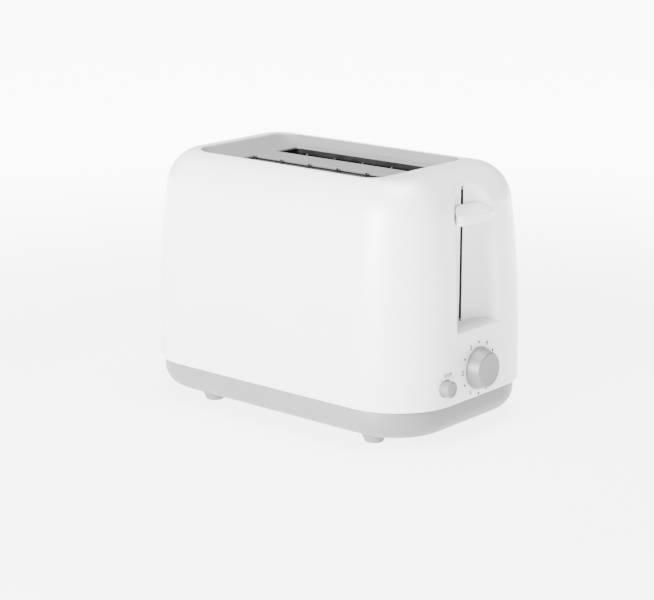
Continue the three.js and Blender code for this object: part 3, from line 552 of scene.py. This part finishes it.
# Columns of the housing's grid, anticlockwise from the control end.
CHANNEL_YS = np.concatenate(
    [
        np.linspace(-30, -25.5, 5)[:-1],
        np.linspace(-25.5, -16, 28)[:-1],
        np.linspace(-16, -SLIT_HALF, 22),
        np.linspace(SLIT_HALF, 16, 22),
        np.linspace(16, 25.5, 28)[1:],
        np.linspace(25.5, 30, 5)[1:],
    ]
)
CORNER_STEPS = 36
SIDE_STEPS = 10


def housing_columns():
    columns = [("y", y) for y in CHANNEL_YS]
    for quarter in range(4):
        columns += [("corner", quarter, i / CORNER_STEPS) for i in range(CORNER_STEPS + 1)]
        if quarter < 3:
            columns += [("side", quarter, i / SIDE_STEPS) for i in range(1, SIDE_STEPS)]
    return columns


COLUMNS = housing_columns()


def section(half_x, half_y, corner, shift_x=0.0, scaled=False):
    """The x and y of each column on one rounded rectangle."""
    points = []
    for column in COLUMNS:
        if column[0] == "y":
            share = column[1] / (CHANNEL_YS[-1] + 2)
            points.append((half_x, share * (half_y - corner) if scaled else column[1]))
            continue
        kind, quarter, share = column
        sx = 1 if quarter in (0, 3) else -1
        sy = 1 if quarter < 2 else -1
        if kind == "corner":
            angle = (quarter + share) * math.pi / 2
            x = sx * (half_x - corner) + corner * math.cos(angle)
            y = sy * (half_y - corner) + corner * math.sin(angle)
            points.append((x, y))
        elif quarter == 1:
            points.append((-half_x, (half_y - corner) * (1 - 2 * share)))
        else:
            side = 1 if quarter == 0 else -1
            points.append((side * (half_x - corner) * (1 - 2 * share), side * half_y))
    points = np.array(points)
    points[:, 0] += shift_x
    return points


def channel_row(z, plain_z, band):
    """The x and z of the channel's columns for one row. band is None away from the ledge."""
    y = CHANNEL_YS
    if band is None:
        face = HALF_LENGTH - inset_at(np.full_like(y, z))
        if z < LEDGE:
            return face, np.full_like(y, z)
        return smooth_min(face, channel_wall(y), CHANNEL_EDGE), np.full_like(y, z)
    front = HALF_LENGTH - inset_at(np.full_like(y, LEDGE))
    back = smooth_min(front, channel_wall(y), CHANNEL_EDGE)
    depth = front - back
    edge = np.minimum(LEDGE_EDGE, depth * 0.4)
    fillet = np.minimum(LEDGE_FILLET, depth * 0.5)
    part, share = band
    if part == "edge":
        angle = share * math.pi / 2
        x = front - edge + edge * math.cos(angle)
        height = LEDGE - edge + edge * math.sin(angle)
    elif part == "ledge":
        x = (front - edge) * (1 - share) + (back + fillet) * share
        height = np.full_like(y, LEDGE)
    else:
        angle = share * math.pi / 2
        x = back + fillet - fillet * math.sin(angle)
        height = LEDGE + fillet - fillet * math.cos(angle)
    weight = np.clip(depth / 1.5, 0, 1)
    return x, height * weight + plain_z * (1 - weight)


def housing_rows():
    """(height, band) of each row from the foot to the shoulder's top."""
    rows = [(z, None) for z in np.linspace(SHELL_BOTTOM + 1, LEDGE - 1.6, 14)]
    bands = [("edge", i / 5) for i in range(6)]
    bands += [("ledge", i / 10) for i in range(1, 11)]
    bands += [("fillet", i / 9) for i in range(1, 10)]
    low, high = LEDGE - 1, LEDGE + LEDGE_FILLET
    rows += [(low + (high - low) * (i + 1) / len(bands), band) for i, band in enumerate(bands)]
    rows += [(z, None) for z in np.linspace(high + 1, 140, 40)]
    rows += [(z, None) for z in np.linspace(140.8, SLIT_TOP, 44)]
    return rows


EASE_START = 30  # how far behind the middle the top begins to come down
EASE_LENGTH = 90
EASE_LEVEL = HEIGHT - RIM_DROP + 0.35


def eased(flat, z, share):
    """Brings the top surface down to the insert's rim beside the opening, most at the control end."""
    to_control_end = np.clip((flat[:, 0] + EASE_START) / EASE_LENGTH, 0, 1)
    blend = share**2 * to_control_end
    return np.where(z > EASE_LEVEL, z + (EASE_LEVEL - z) * blend, z)


RIM_DEPTH = 1.6
CONTROL_END_CUT = (100, 140)  # from and to along X, of the cutters through the control end
REAR_END_CUT = (-140, -110)
HOLES = (
    ("button_cut", BUTTON_RADIUS + 0.4, CONTROL_END_CUT, (BUTTON_Y, BUTTON_HEIGHT)),
    ("shaft_cut", 5, CONTROL_END_CUT, (0, DIAL_HEIGHT)),
    ("gland_cut", 6.3, REAR_END_CUT, (GLAND_Y, GLAND_HEIGHT)),
)


def make_shell():
    channel_count = len(CHANNEL_YS)
    rings = []
    slit_rows = []
    half_x, half_y, corner = plan(0.0)
    for drop, inset in ((0.0, 0.9), (0.12, 0.45), (0.45, 0.12)):
        flat = section(half_x - inset, half_y - inset, corner - inset)
        rings.append(np.column_stack([flat, np.full(len(flat), SHELL_BOTTOM + drop)]))
    for z, band in housing_rows():
        inset = float(inset_at(z))
        flat = section(*plan(inset))
        ring = np.column_stack([flat, np.full(len(flat), z)])
        x, height = channel_row(z, z, band)
        ring[:channel_count, 0] = x
        ring[:channel_count, 2] = height
        if LEDGE < z and (band is None or band[1] > 0.6 and band[0] == "fillet"):
            slit_rows.append(len(rings))
        rings.append(ring)
    # Over the shoulder, the rows run from the slit's top ring to the opening's edge.
    last_inset = float(inset_at(housing_rows()[-1][0]))
    ring_start = section(*plan(last_inset))
    grow = RIM_FILLET
    edge_out = section(
        OPENING_HALF_X + grow, OPENING_HALF_Y + grow, OPENING_CORNER + grow, OPENING_SHIFT, scaled=True
    )
    opening_steps = 26
    for i in range(1, opening_steps + 1):
        share = i / opening_steps
        flat = ring_start * (1 - share) + edge_out * share
        z = eased(flat, height_at(flat[:, 0], flat[:, 1]), share)
        ring = np.column_stack([flat, z])
        y = flat[:channel_count, 1]
        wall = channel_wall(y)
        plain = flat[:channel_count, 0]
        scooped = smooth_min(plain, wall, CHANNEL_EDGE)
        ring[:channel_count, 0] = np.where(wall < plain, scooped, plain)
        rings.append(ring)
    edge_z = eased(edge_out, height_at(edge_out[:, 0], edge_out[:, 1]), 1.0)
    for i in range(1, 7):
        angle = i / 6 * math.pi / 2
        shrink = RIM_FILLET * math.sin(angle)
        flat = section(
            OPENING_HALF_X + grow - shrink,
            OPENING_HALF_Y + grow - shrink,
            OPENING_CORNER + grow - shrink,
            OPENING_SHIFT,
            scaled=True,
        )
        rings.append(np.column_stack([flat, edge_z - RIM_FILLET * (1 - math.cos(angle))]))
    lowest = rings[-1].copy()
    lowest[:, 2] -= RIM_DEPTH
    rings.append(lowest)
    slit_column = int(np.argmax(CHANNEL_YS > 0)) - 1
    slit_span = set(slit_rows[:-1])

    def in_slit(i, j):
        return j == slit_column and i in slit_span

    faces = grid_faces(len(rings), len(COLUMNS), skip=in_slit)
    points = [tuple(p) for ring in rings for p in ring]
    shell = new_object("shell", points, faces, WHITE)
    solidify(shell, WALL)
    cutters = []
    for name, radius, ends, at in HOLES:
        cutters.append(turned(name, [(radius, x) for x in ends], "X", at, DARK))
    cut(shell, *cutters)
    shade(shell, 40)
    return finish_piece(shell, "housing", "white_shell", "outer_shell")


# Setback and depth of the slit's dark strips, which are painted shade.
LIP_SETBACK = 0.25
LIP_DEPTH = 4.5


def make_slit_lining():
    """Dark strips of painted shade down both sides of the slit behind the lever."""
    for side, name in ((-1, "front"), (1, "rear")):
        rows = []
        for z in np.linspace(LEDGE + 3, SLIT_TOP - 3, 40):
            wall = float(np.minimum(CHANNEL_AXIS - CHANNEL_RADIUS, HALF_LENGTH - inset_at(z)))
            near, far = side * (SLIT_HALF - 0.03), side * (SLIT_HALF - 0.2)
            front, back = wall - LIP_SETBACK, wall - LIP_DEPTH
            rows.append([(front, near, z), (front, far, z), (back, far, z), (back, near, z)])
        # Painted shade: dark plastic strips stand in for the shadow inside the slit.
        lip = loft(f"slit_shade_strip_{name}", rows, DARK)
        shade(lip, 40)
        finish_piece(lip, "housing", "dark_plastic")


# ---------- Base ----------
def base_ring(inset, z):
    return rounded_ring(HALF_LENGTH - inset, HALF_WIDTH - inset, CORNER_RADIUS - inset, z, steps=40)


def base_rings(inward, top):
    radius = BASE_EDGE - inward
    rings = []
    for i in range(15):
        angle = i / 14 * math.pi / 2
        inset = BASE_INSET + inward + radius * (1 - math.sin(angle))
        z = BASE_BOTTOM + inward + radius * (1 - math.cos(angle))
        rings.append(base_ring(inset, z))
    rings.append(base_ring(BASE_INSET + inward, top))
    return rings


TRAY_HALF = 47.0
TRAY_FLOOR = 11.2
TRAY_CEILING = 21.5
BASE_WALL = 2.5
VENT_PITCH = 25
VENT_Y = 22
SCREW_HOLE = 3.9
SCREW_PILOT = 2.0
POST_RADIUS = 5.5
POST_BOTTOM = 8.2
POST_JOIN = 8.9
POST_SEAT = 14
SCREW_REACH = 28
SCREW_X = HALF_LENGTH - CORNER_RADIUS + SCREW_REACH * math.sqrt(0.5)
SCREW_Y = HALF_WIDTH - CORNER_RADIUS + SCREW_REACH * math.sqrt(0.5)
CORNERS = ((1, -1), (1, 1), (-1, 1), (-1, -1))


def make_base():
    top = SHELL_BOTTOM + 5
    base = loft("base_pan", base_rings(0, top), BASE_GREY)
    cut(base, loft("hollow", base_rings(BASE_WALL, top + 5), DARK))
    mouth_low = (-HALF_LENGTH - 5, -TRAY_HALF, TRAY_FLOOR)
    mouth_high = (-HALF_LENGTH + 24, TRAY_HALF, TRAY_CEILING)
    cut(base, block("tray_mouth", mouth_low, mouth_high))
    for side in (-1, 1):
        for i in range(-2, 3):
            ring = rounded_ring(2, 15, 1.9, 0, i * VENT_PITCH, side * VENT_Y, steps=6)
            upper = [(x, y, 12) for x, y, z in ring]
            cut(base, loft("vent", [ring, upper], DARK))
    for sx, sy in CORNERS:
        hole = [(SCREW_HOLE, 0), (SCREW_HOLE, 20)]
        cut(base, turned("screw_hole", hole, "Z", (sx * SCREW_X, sy * SCREW_Y), DARK, 40))
    bevel(base, 0.35, 2, 50)
    apply_modifiers(base)
    shade(base, 30)
    finish_piece(base, "housing", "base_plastic", "base")
    for i, (sx, sy) in enumerate(CORNERS):
        profile = [(POST_RADIUS, POST_JOIN), (POST_RADIUS, top)]
        profile += [(SCREW_PILOT, top), (SCREW_PILOT, POST_SEAT)]
        profile += [(SCREW_HOLE, POST_SEAT), (SCREW_HOLE, POST_BOTTOM)]
        profile += [(POST_RADIUS, POST_BOTTOM), (POST_RADIUS, POST_JOIN)]
        post = turned(f"screw_post_{i + 1}", profile, "Z", (sx * SCREW_X, sy * SCREW_Y), BASE_GREY, 40)
        shade(post)
        finish_piece(post, "housing", "base_plastic")


def make_feet():
    top = BASE_BOTTOM - 0.3
    profile = [(0, 0.0), (5.9, 0.0)] + arc((5.9, 0.8), 0.8, -90, -20, 5)
    profile += [(8.6, top - 0.9)] + arc((8.2, top - 0.8), 0.8, 0, 90, 4) + [(0, top)]
    for name in ("foot_front_left", "foot_front_right", "foot_rear_right", "foot_rear_left"):
        low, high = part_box(name)
        centre = ((low.x + high.x) / 2 / MM - MIDDLE_X, (low.y + high.y) / 2 / MM)
        foot = turned("rubber_" + name, profile, "Z", centre, FOOT, 64)
        shade(foot, 50)
        finish_piece(foot, "housing", "foot_rubber", name)


# ---------- Dished insert ----------
SLOT_LIP = 0.9
SLOT_LIP_DEPTH = 1.6
# The near-black collar's section, a sleeve of painted shade under each slot's lip: outwards from the slot,
# and down from the floor.
COLLAR = ((1.4, 2.0), (1.4, 5.6), (0.9, 5.6), (0.9, 2.0), (1.4, 2.0))


def slot_ring(side, grow, z):
    """The outline of one slot, grown outwards, at a height."""
    return rounded_ring(
        SLOT_HALF_LENGTH + grow, SLOT_HALF_WIDTH + grow, SLOT_CORNER + grow, z, 0, side * SLOT_Y
    )


def make_insert():
    rim = HEIGHT - RIM_DROP
    floor_z = HEIGHT - DISH_DEPTH
    half_x = OPENING_HALF_X - 0.3
    half_y = OPENING_HALF_Y - 0.3
    floor_x = SLOT_HALF_LENGTH + 3
    floor_y = SLOT_Y + SLOT_HALF_WIDTH + 3
    steps = 24

    def ring(share, z, grow=0.0):
        return rounded_ring(
            half_x + (floor_x - half_x) * share + grow,
            half_y + (floor_y - half_y) * share + grow,
            OPENING_CORNER + (FLOOR_CORNER - OPENING_CORNER) * share + grow,
            z,
            OPENING_SHIFT * (1 - share),
            steps=steps,
        )

    rings = [ring(0, rim - 2.2), ring(0, rim - 0.5), ring(0, rim - 0.15, -0.15), ring(0, rim, -0.5)]
    for i in range(1, 17):
        share = i / 16
        drop = math.sin(share * math.pi / 2)
        rings.append(ring(share, rim - (rim - floor_z) * drop, -0.5 * (1 - share)))
    points = [p for r in rings for p in r]
    count = len(rings[0])
    faces = grid_faces(len(rings), count)
    bm_source = new_object("dished_insert", points, faces, INSERT_GREY)
    # The floor, open over both slots, with a rolled lip round each.
    bm = bmesh.new()
    bm.from_mesh(bm_source.data)
    bm.verts.ensure_lookup_table()
    outer = [bm.verts[(len(rings) - 1) * count + j] for j in range(count)]
    boundary = [bm.edges.get((outer[j], outer[(j + 1) % count])) for j in range(count)]
    angles = np.linspace(0, math.pi / 2, 7)
    for sy in (-1, 1):
        previous = None
        lip_rings = [(SLOT_LIP * (1 - math.sin(a)), SLOT_LIP * (1 - math.cos(a))) for a in angles]
        lip_rings.append((0.0, SLOT_LIP_DEPTH))
        for grow, drop in lip_rings:
            spots = slot_ring(sy, grow, floor_z - drop)
            verts = [bm.verts.new(((x + MIDDLE_X) * MM, y * MM, z * MM)) for x, y, z in spots]
            if previous is None:
                boundary += [bm.edges.new(pair) for pair in zip(verts, verts[1:] + verts[:1])]
            else:
                for j in range(len(verts)):
                    k = (j + 1) % len(verts)
                    bm.faces.new((previous[j], previous[k], verts[k], verts[j]))
            previous = verts
    filled = bmesh.ops.triangle_fill(bm, edges=boundary, use_beauty=True, use_dissolve=False)
    for face in list(filled["geom"]):
        if isinstance(face, bmesh.types.BMFace) and in_slot(face.calc_center_median() / MM):
            bm.faces.remove(face)
    bmesh.ops.recalc_face_normals(bm, faces=bm.faces)
    bm.to_mesh(bm_source.data)
    bm.free()
    up = sum(p.normal.z * p.area for p in bm_source.data.polygons)
    if up < 0:
        bm_source.data.flip_normals()
    solidify(bm_source, 1.2)
    shade(bm_source, 40)
    finish_piece(bm_source, "housing", "grey_plastic", "top_insert")
    # Near-black collars under the slot lips: painted shade at the slots' mouths.
    for side, name in ((-1, "front"), (1, "rear")):
        collar = [slot_ring(side, grow, floor_z - drop) for grow, drop in COLLAR]
        sleeve = loft(f"slot_shade_collar_{name}", collar, CHAMBER_PAINTED_SHADE, False, False)
        shade(sleeve)
        finish_piece(sleeve, "housing", "chamber_steel")


def in_slot(centre):
    return abs(abs(centre.y) - SLOT_Y) < SLOT_HALF_WIDTH and abs(centre.x - MIDDLE_X) < SLOT_HALF_LENGTH


# ---------- Lever ----------
LEVER_HALF_SPAN = 21.2
LEVER_BOTTOM = HEIGHT - 33.3
LEVER_FACE_HEIGHT = 6.4
LEVER_RISE = 5.0
LEVER_BULGE = 2.2
LEVER_CLEARANCE = 0.9


def make_lever():
    def wall_x(y):
        return CHANNEL_AXIS - math.sqrt((CHANNEL_RADIUS - LEVER_CLEARANCE) ** 2 - y * y)

    tip_x = wall_x(LEVER_HALF_SPAN) + 0.6
    full_depth = tip_x + LEVER_BULGE - wall_x(0)
    sections = 72
    rings = []
    for i in range(sections + 1):
        s = math.sin((0.5 - i / sections) * math.pi)
        y = s * LEVER_HALF_SPAN
        end = abs(s) ** 6
        front = tip_x + LEVER_BULGE * (1 - s**4) - 0.4 * end
        back = wall_x(y) - 0.1 * end
        depth = front - back
        bottom = LEVER_BOTTOM + 1.1 * end
        top = LEVER_BOTTOM + LEVER_FACE_HEIGHT - 1.5 * end
        rise = LEVER_RISE * min(1, depth / full_depth * 1.3)
        low = min(1.6, depth * 0.45)
        high = min(0.9, depth * 0.3)
        ring = [(back + (front - low - back) * k / 6, bottom) for k in range(6)]
        ring += arc((front - low, bottom + low), low, -90, 0, 7)
        ring += arc((front - high - 0.15, top - high), high, 0, 80, 5)
        crease = front - high - 0.15
        for k in range(1, 13):
            t = k / 12
            ring.append((crease + (back - crease) * t, top + rise * t**1.7))
        rings.append([(x, y, z) for x, z in ring])
    lever = loft("lever_grip", rings, WHITE)
    shade(lever, 50)
    return finish_piece(lever, "carriage", "white_shell", "lever_knob")


# ---------- Dial, button and their printing ----------
DIAL_GAP = 0.4
DIAL_REACH = 9.4
FIRST_MARK = 210  # degrees clockwise from the top, seen from the control end
MARK_STEP = 60
POINTER_RADIUS = 8.0
BUTTON_REACH = 5.5
STEM_RADIUS = 2.5
FLANGE_RADIUS = 7.4


def make_dial():
    back = HALF_LENGTH + DIAL_GAP
    front = HALF_LENGTH + DIAL_REACH
    profile = [(0, back + 0.2), (14.2, back + 0.2), (14.2, back)]
    profile += arc((14.4, back + 0.5), 0.5, -90, 0, 5)
    profile += [(14.75, back + 1.2)] + arc((14.2, back + 1.3), 0.5, 20, 60, 4)
    profile += [(12.75, front - 2.6)] + arc((10.5, front - 2.1), 2.1, 8, 84, 12)
    profile += [(10.3, front - 0.04), (9.9, front - 0.25), (9.5, front - 0.3), (0, front - 0.3)]
    dial = turned("dial_grip", profile, "X", (0, DIAL_HEIGHT), GREY, 128)
    angle = math.radians(FIRST_MARK)
    pointer = (math.sin(angle), math.cos(angle))
    mark = turned(
        "dial_dimple",
        [(0.8, front - 0.5), (0.8, front + 1)],
        "X",
        (pointer[0] * POINTER_RADIUS, DIAL_HEIGHT + pointer[1] * POINTER_RADIUS),
        GREY,
        32,
    )
    cut(dial, mark)
    shade(dial, 28)
    return finish_piece(dial, "dial", "grey_plastic", "browning_knob")


def make_button():
    front = HALF_LENGTH + BUTTON_REACH
    stem_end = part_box("stop_button")[0].x / MM - MIDDLE_X
    flange_back, flange_front = HALF_LENGTH - 8, HALF_LENGTH - 6
    profile = [(0, stem_end), (STEM_RADIUS, stem_end), (STEM_RADIUS, flange_back)]
    profile += [(FLANGE_RADIUS, flange_back), (FLANGE_RADIUS, flange_front), (BUTTON_RADIUS, flange_front)]
    profile += arc((BUTTON_RADIUS - 1.5, front - 1.5), 1.5, 0, 80, 10)
    profile += [(4.1, front - 0.1), (3.8, front - 0.3), (2.0, front - 0.36), (0, front - 0.38)]
    button = turned("stop_cap", profile, "X", (BUTTON_Y, BUTTON_HEIGHT), GREY, 96)
    shade(button, 40)
    return finish_piece(button, "stop", "grey_plastic", "stop_button")


def face_x(y, z):
    """The control end's surface at a point."""
    half_x, half_y, corner = plan(inset_at(z))
    past = np.maximum(np.abs(y) - (half_y - corner), 0)
    return half_x - corner + np.sqrt(corner**2 - past**2)


PRINT_LIFT = 0.02
PRINT_THICKNESS = 0.05


def printed(name, points, faces):
    """A thin layer of ink on the control end. Points are (y, z) in millimetres."""
    front = [(float(face_x(y, z)) + PRINT_LIFT + PRINT_THICKNESS, y, z) for y, z in points]
    mark = new_object(name, front, faces, PRINT)
    tidy_mesh(mark)
    if sum(p.normal.x * p.area for p in mark.data.polygons) < 0:
        mark.data.flip_normals()
    solidify(mark, PRINT_THICKNESS)
    return finish_piece(mark, "housing", "dark_plastic")


def make_dot(name, y, z, radius=0.95):
    ring = [(y + radius * math.cos(TURN * i / 24), z + radius * math.sin(TURN * i / 24)) for i in range(24)]
    return printed(name, ring, [tuple(range(24))])


def make_text(name, text, y, z, height, boldness):
    """A short generic word or numeral in Blender's plain built-in face."""
    curve = bpy.data.curves.new(name, "FONT")
    curve.body = text
    curve.size = height / 0.7
    curve.align_x = "CENTER"
    curve.align_y = "CENTER"
    curve.fill_mode = "FRONT"
    curve.offset = boldness
    source = bpy.data.objects.new(name, curve)
    bpy.context.scene.collection.objects.link(source)
    bpy.context.view_layer.update()
    mesh = source.to_mesh()
    points = [(y + v.co.x, z + v.co.y) for v in mesh.vertices]
    faces = [tuple(p.vertices) for p in mesh.polygons]
    source.to_mesh_clear()
    bpy.data.objects.remove(source)
    return printed(name, points, faces)


MARK_RADIUS = 18.4
NUMERALS = 6
NUMERAL_HEIGHT = 3.4
WORD_HEIGHT = 2.4


def on_dial(angle):
    """The y and z of a mark round the dial. The angle is clockwise from the top."""
    return MARK_RADIUS * math.sin(angle), DIAL_HEIGHT + MARK_RADIUS * math.cos(angle)


def make_printing():
    for number in range(1, NUMERALS + 1):
        angle = math.radians(FIRST_MARK + (number - 1) * MARK_STEP)
        make_text(f"numeral_{number}", str(number), *on_dial(angle), NUMERAL_HEIGHT, 0.12)
        if number < NUMERALS:
            make_dot(f"dial_dot_{number}", *on_dial(angle + math.radians(MARK_STEP / 2)))
    make_dot("dial_dot_0", *on_dial(math.pi))
    make_text("stop_word", "STOP", BUTTON_Y + 2.2, BUTTON_HEIGHT + 8.9, WORD_HEIGHT, 0.06)


# ---------- Rear end ----------
def make_tray_handle():
    low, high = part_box("crumb_tray_handle")
    top = high.z / MM
    bottom = low.z / MM
    half = high.y / MM
    rear = -HALF_LENGTH + BASE_INSET + 12.7
    handle = loft("tray_grip", base_rings(0, SHELL_BOTTOM + 5), BASE_GREY)
    keep_inside(handle, block("mouth", (-HALF_LENGTH - 5, -half, bottom), (rear, half, top)))
    lip_low = (-HALF_LENGTH - 2, -22, top - 3)
    lip = block("lip", lip_low, (-HALF_LENGTH + 8, 22, top))
    modifier = handle.modifiers.new("join", "BOOLEAN")
    modifier.operation = "UNION"
    modifier.solver = "EXACT"
    modifier.object = lip
    apply_modifiers(handle)
    bpy.data.objects.remove(lip)
    bevel(handle, 0.5, 3, 50)
    apply_modifiers(handle)
    shade(handle, 30)
    return finish_piece(handle, "crumb_tray", "base_plastic", "crumb_tray_handle")


GLAND_BORE = 3.6
GLAND_NECK = 6
GLAND_FLANGE = 8.9
GLAND_DEPTH = 7.5


def make_gland():
    face = -HALF_LENGTH - 0.3
    outer = face - 2
    profile = [(GLAND_BORE, outer + 0.6)] + arc((4.2, outer + 0.6), 0.6, 180, 270, 4)
    profile += arc((7.6, outer + 0.8), 0.8, -90, -20, 4)
    profile += [(GLAND_FLANGE, face), (GLAND_NECK, face), (GLAND_NECK, face + GLAND_DEPTH)]
    profile += [(GLAND_BORE, face + GLAND_DEPTH), (GLAND_BORE, outer + 0.6)]
    gland = turned("cord_bush", profile, "X", (GLAND_Y, GLAND_HEIGHT), DARK, 64)
    shade(gland, 35)
    return finish_piece(gland, "housing", "dark_plastic", "cord_gland")


# ---------- Wire guards ----------
def bar(points, radius, sides=12):
    """A tube through a list of points, as (points, faces)."""
    curve_points = [Vector(p) for p in points]
    verts, faces = [], []
    for i, p in enumerate(curve_points):
        ahead = curve_points[min(i + 1, len(curve_points) - 1)]
        behind = curve_points[max(i - 1, 0)]
        along = (ahead - behind).normalized()
        side = along.cross(Vector((0, 1, 0)) if abs(along.y) < 0.9 else Vector((1, 0, 0))).normalized()
        other = along.cross(side)
        for k in range(sides):
            angle = TURN * k / sides
            verts.append(tuple(p + radius * (math.cos(angle) * side + math.sin(angle) * other)))
    faces = grid_faces(len(curve_points), sides)
    faces.append(tuple(range(sides)))
    faces.append(tuple(reversed(range(len(verts) - sides, len(verts)))))
    return verts, faces


def wire_frame(name, bars, material):
    verts, faces = [], []
    for points, radius in bars:
        more, more_faces = bar(points, radius)
        faces += [tuple(index + len(verts) for index in face) for face in more_faces]
        verts += more
    obj = new_object(name, verts, faces, material)
    bm = bmesh.new()
    bm.from_mesh(obj.data)
    bmesh.ops.recalc_face_normals(bm, faces=bm.faces)
    bm.to_mesh(obj.data)
    bm.free()
    return shade(obj, 50)


GUARD_WIRES = 6
RAIL_RADIUS = 0.88
WIRE_RADIUS = 0.78
INNER_GUARD_DROP = 10.7


def make_guard(name, body):
    low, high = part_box(name)
    y = (low.y + high.y) / 2 / MM
    inner = "inner" in name
    pivot_z = low.z / MM + 0.9
    tip = high.z / MM if inner else high.z / MM - 0.9
    top = HEIGHT - INNER_GUARD_DROP if inner else tip
    pivot_x = (high.x - low.x) / 2 / MM
    reach = SLOT_HALF_LENGTH - 2.5
    bars = [
        ([(-pivot_x, y, pivot_z), (pivot_x, y, pivot_z)], RAIL_RADIUS),
        ([(-reach - 0.8, y, top), (reach + 0.8, y, top)], RAIL_RADIUS),
    ]
    for i in range(GUARD_WIRES):
        x = -reach + i * 2 * reach / (GUARD_WIRES - 1)
        bars.append(([(x, y, pivot_z), (x, y, tip)], WIRE_RADIUS))
    guard = wire_frame("wires_of_" + name, bars, WIRE)
    return finish_piece(guard, body, "guard_wire", name)


# ---------- CAD nodes that keep their own shape ----------
def dress(material, width_mm, *names):
    """Gives CAD nodes a finished material and softened edges."""
    for name in names:
        obj = nodes[name]
        obj.data.materials.clear()
        obj.data.materials.append(material)
        if width_mm:
            bevel(obj, width_mm)


def dress_all():
    dress(STEEL, 0.15, "lever_arm", "carriage_plate", "armature", "guide_rod", "magnet_core")
    dress(STEEL, 0.12, "case_screw_1", "case_screw_2", "case_screw_3", "case_screw_4")
    dress(STEEL, 0.12, "board_screw_1", "board_screw_2")
    dress(STEEL, 0, "return_spring")
    # Painted shade: the racks, bulkheads and reflectors take the near-black chamber steel that stands in
    # for the slots' shade.
    dress(CHAMBER_PAINTED_SHADE, 0.2, "bread_rack_front", "bread_rack_rear", "front_bulkhead", "rear_bulkhead")
    dress(CHAMBER_PAINTED_SHADE, 0.2, "reflector_front", "reflector_rear")
    dress(TRAY_STEEL, 0.2, "crumb_tray_pan")
    dress(MICA, 0.15, "mica_board_front", "mica_board_middle", "mica_board_rear")
    dress(RIBBON, 0.1, "ribbon_front_outer", "ribbon_front_inner", "ribbon_rear_inner", "ribbon_rear_outer")
    dress(COPPER, 0.4, "magnet_coil")
    dress(COPPER, 0.1, "contact_leaf_lower", "contact_leaf_upper")
    dress(DARK, 0.3, "contact_block", "terminal_block", "browning_potentiometer")
    dress(DARK, 0.3, "stop_switch", "timer_chip")
    dress(DARK, 0.4, "capacitor", "dial_shaft")
    dress(BOARD, 0.15, "control_board")
    dress(SLEEVE, 0, "live_lead", "neutral_lead")


# ---------- Set and camera ----------
CAMERA_X, CAMERA_Y, CAMERA_Z = 873.6, -1033.0, 425.1  # millimetres, about the housing's middle
CAMERA_LENS = 105.9
CAMERA_TURN = 40.49
CAMERA_RISE = 14.5
FLOOR_REACH = 9000
FLOOR_GLOW = 4.6  # the floor's own light, up to GLOW_START from the middle
FAR_GLOW = 10.0  # and past GLOW_END
GLOW_START = 0.3
GLOW_END = 1.1
WORLD_LIGHT = 1.0
KEY_POWER = 350
TOP_POWER = 150


def make_camera():
    data = bpy.data.cameras.new("camera")
    data.lens = CAMERA_LENS
    data.sensor_width = 36
    data.clip_end = 50
    camera = bpy.data.objects.new("camera", data)
    camera.location = ((CAMERA_X + MIDDLE_X) * MM, CAMERA_Y * MM, CAMERA_Z * MM)
    camera.rotation_euler = (math.radians(90 - CAMERA_RISE), 0, math.radians(CAMERA_TURN))
    bpy.context.scene.collection.objects.link(camera)
    bpy.context.scene.camera = camera


def make_light(name, place, size, power, target=(0, 0, 0.09)):
    data = bpy.data.lights.new(name, "AREA")
    data.shape = "RECTANGLE"
    data.size, data.size_y = size
    data.energy = power
    light = bpy.data.objects.new(name, data)
    light.location = place
    direction = Vector(target) - Vector(place)
    light.rotation_euler = direction.to_track_quat("-Z", "Y").to_euler()
    bpy.context.scene.collection.objects.link(light)


def make_set():
    reach = FLOOR_REACH
    floor_points = [(-reach, -reach, 0), (reach, -reach, 0), (reach, reach, 0), (-reach, reach, 0)]
    shader = Shader("pale_floor", 0.9)
    shader.color(shader.noise(3), grey(0.34), grey(0.36))
    shader.set(Emission_Color=(1, 1, 1, 1), Specular_IOR_Level=0.0)
    away = shader.add("ShaderNodeVectorMath", operation="LENGTH")
    shader.link(shader.place, away.inputs[0])
    glow = shader.add("ShaderNodeMapRange", interpolation_type="SMOOTHSTEP")
    glow.inputs["From Min"].default_value = GLOW_START
    glow.inputs["From Max"].default_value = GLOW_END
    glow.inputs["To Min"].default_value = FLOOR_GLOW
    glow.inputs["To Max"].default_value = FAR_GLOW
    shader.link(away.outputs["Value"], glow.inputs["Value"])
    shader.link(glow.outputs["Result"], shader.principled.inputs["Emission Strength"])
    floor = new_object("floor", floor_points, [(0, 1, 2, 3)], shader.material)
    floor.location.z = -0.0005
    world = bpy.data.worlds.new("studio")
    world.use_nodes = True
    world.node_tree.nodes["Background"].inputs["Color"].default_value = (1, 1, 1, 1)
    world.node_tree.nodes["Background"].inputs["Strength"].default_value = WORLD_LIGHT
    bpy.context.scene.world = world
    make_light("key", (-0.02, -2.15, 0.6), (0.9, 1.15), KEY_POWER)
    make_light("top", (0.1, 0.1, 2.15), (1.2, 1.2), TOP_POWER)


make_camera()
make_set()
make_shell()
make_slit_lining()
make_base()
make_feet()
make_insert()
make_lever()
make_dial()
make_button()
make_printing()
make_tray_handle()
make_gland()
make_guard("guard_front_outer", "front_outer_guard")
make_guard("guard_front_inner", "front_inner_guard")
make_guard("guard_rear_inner", "rear_inner_guard")
make_guard("guard_rear_outer", "rear_outer_guard")
dress_all()
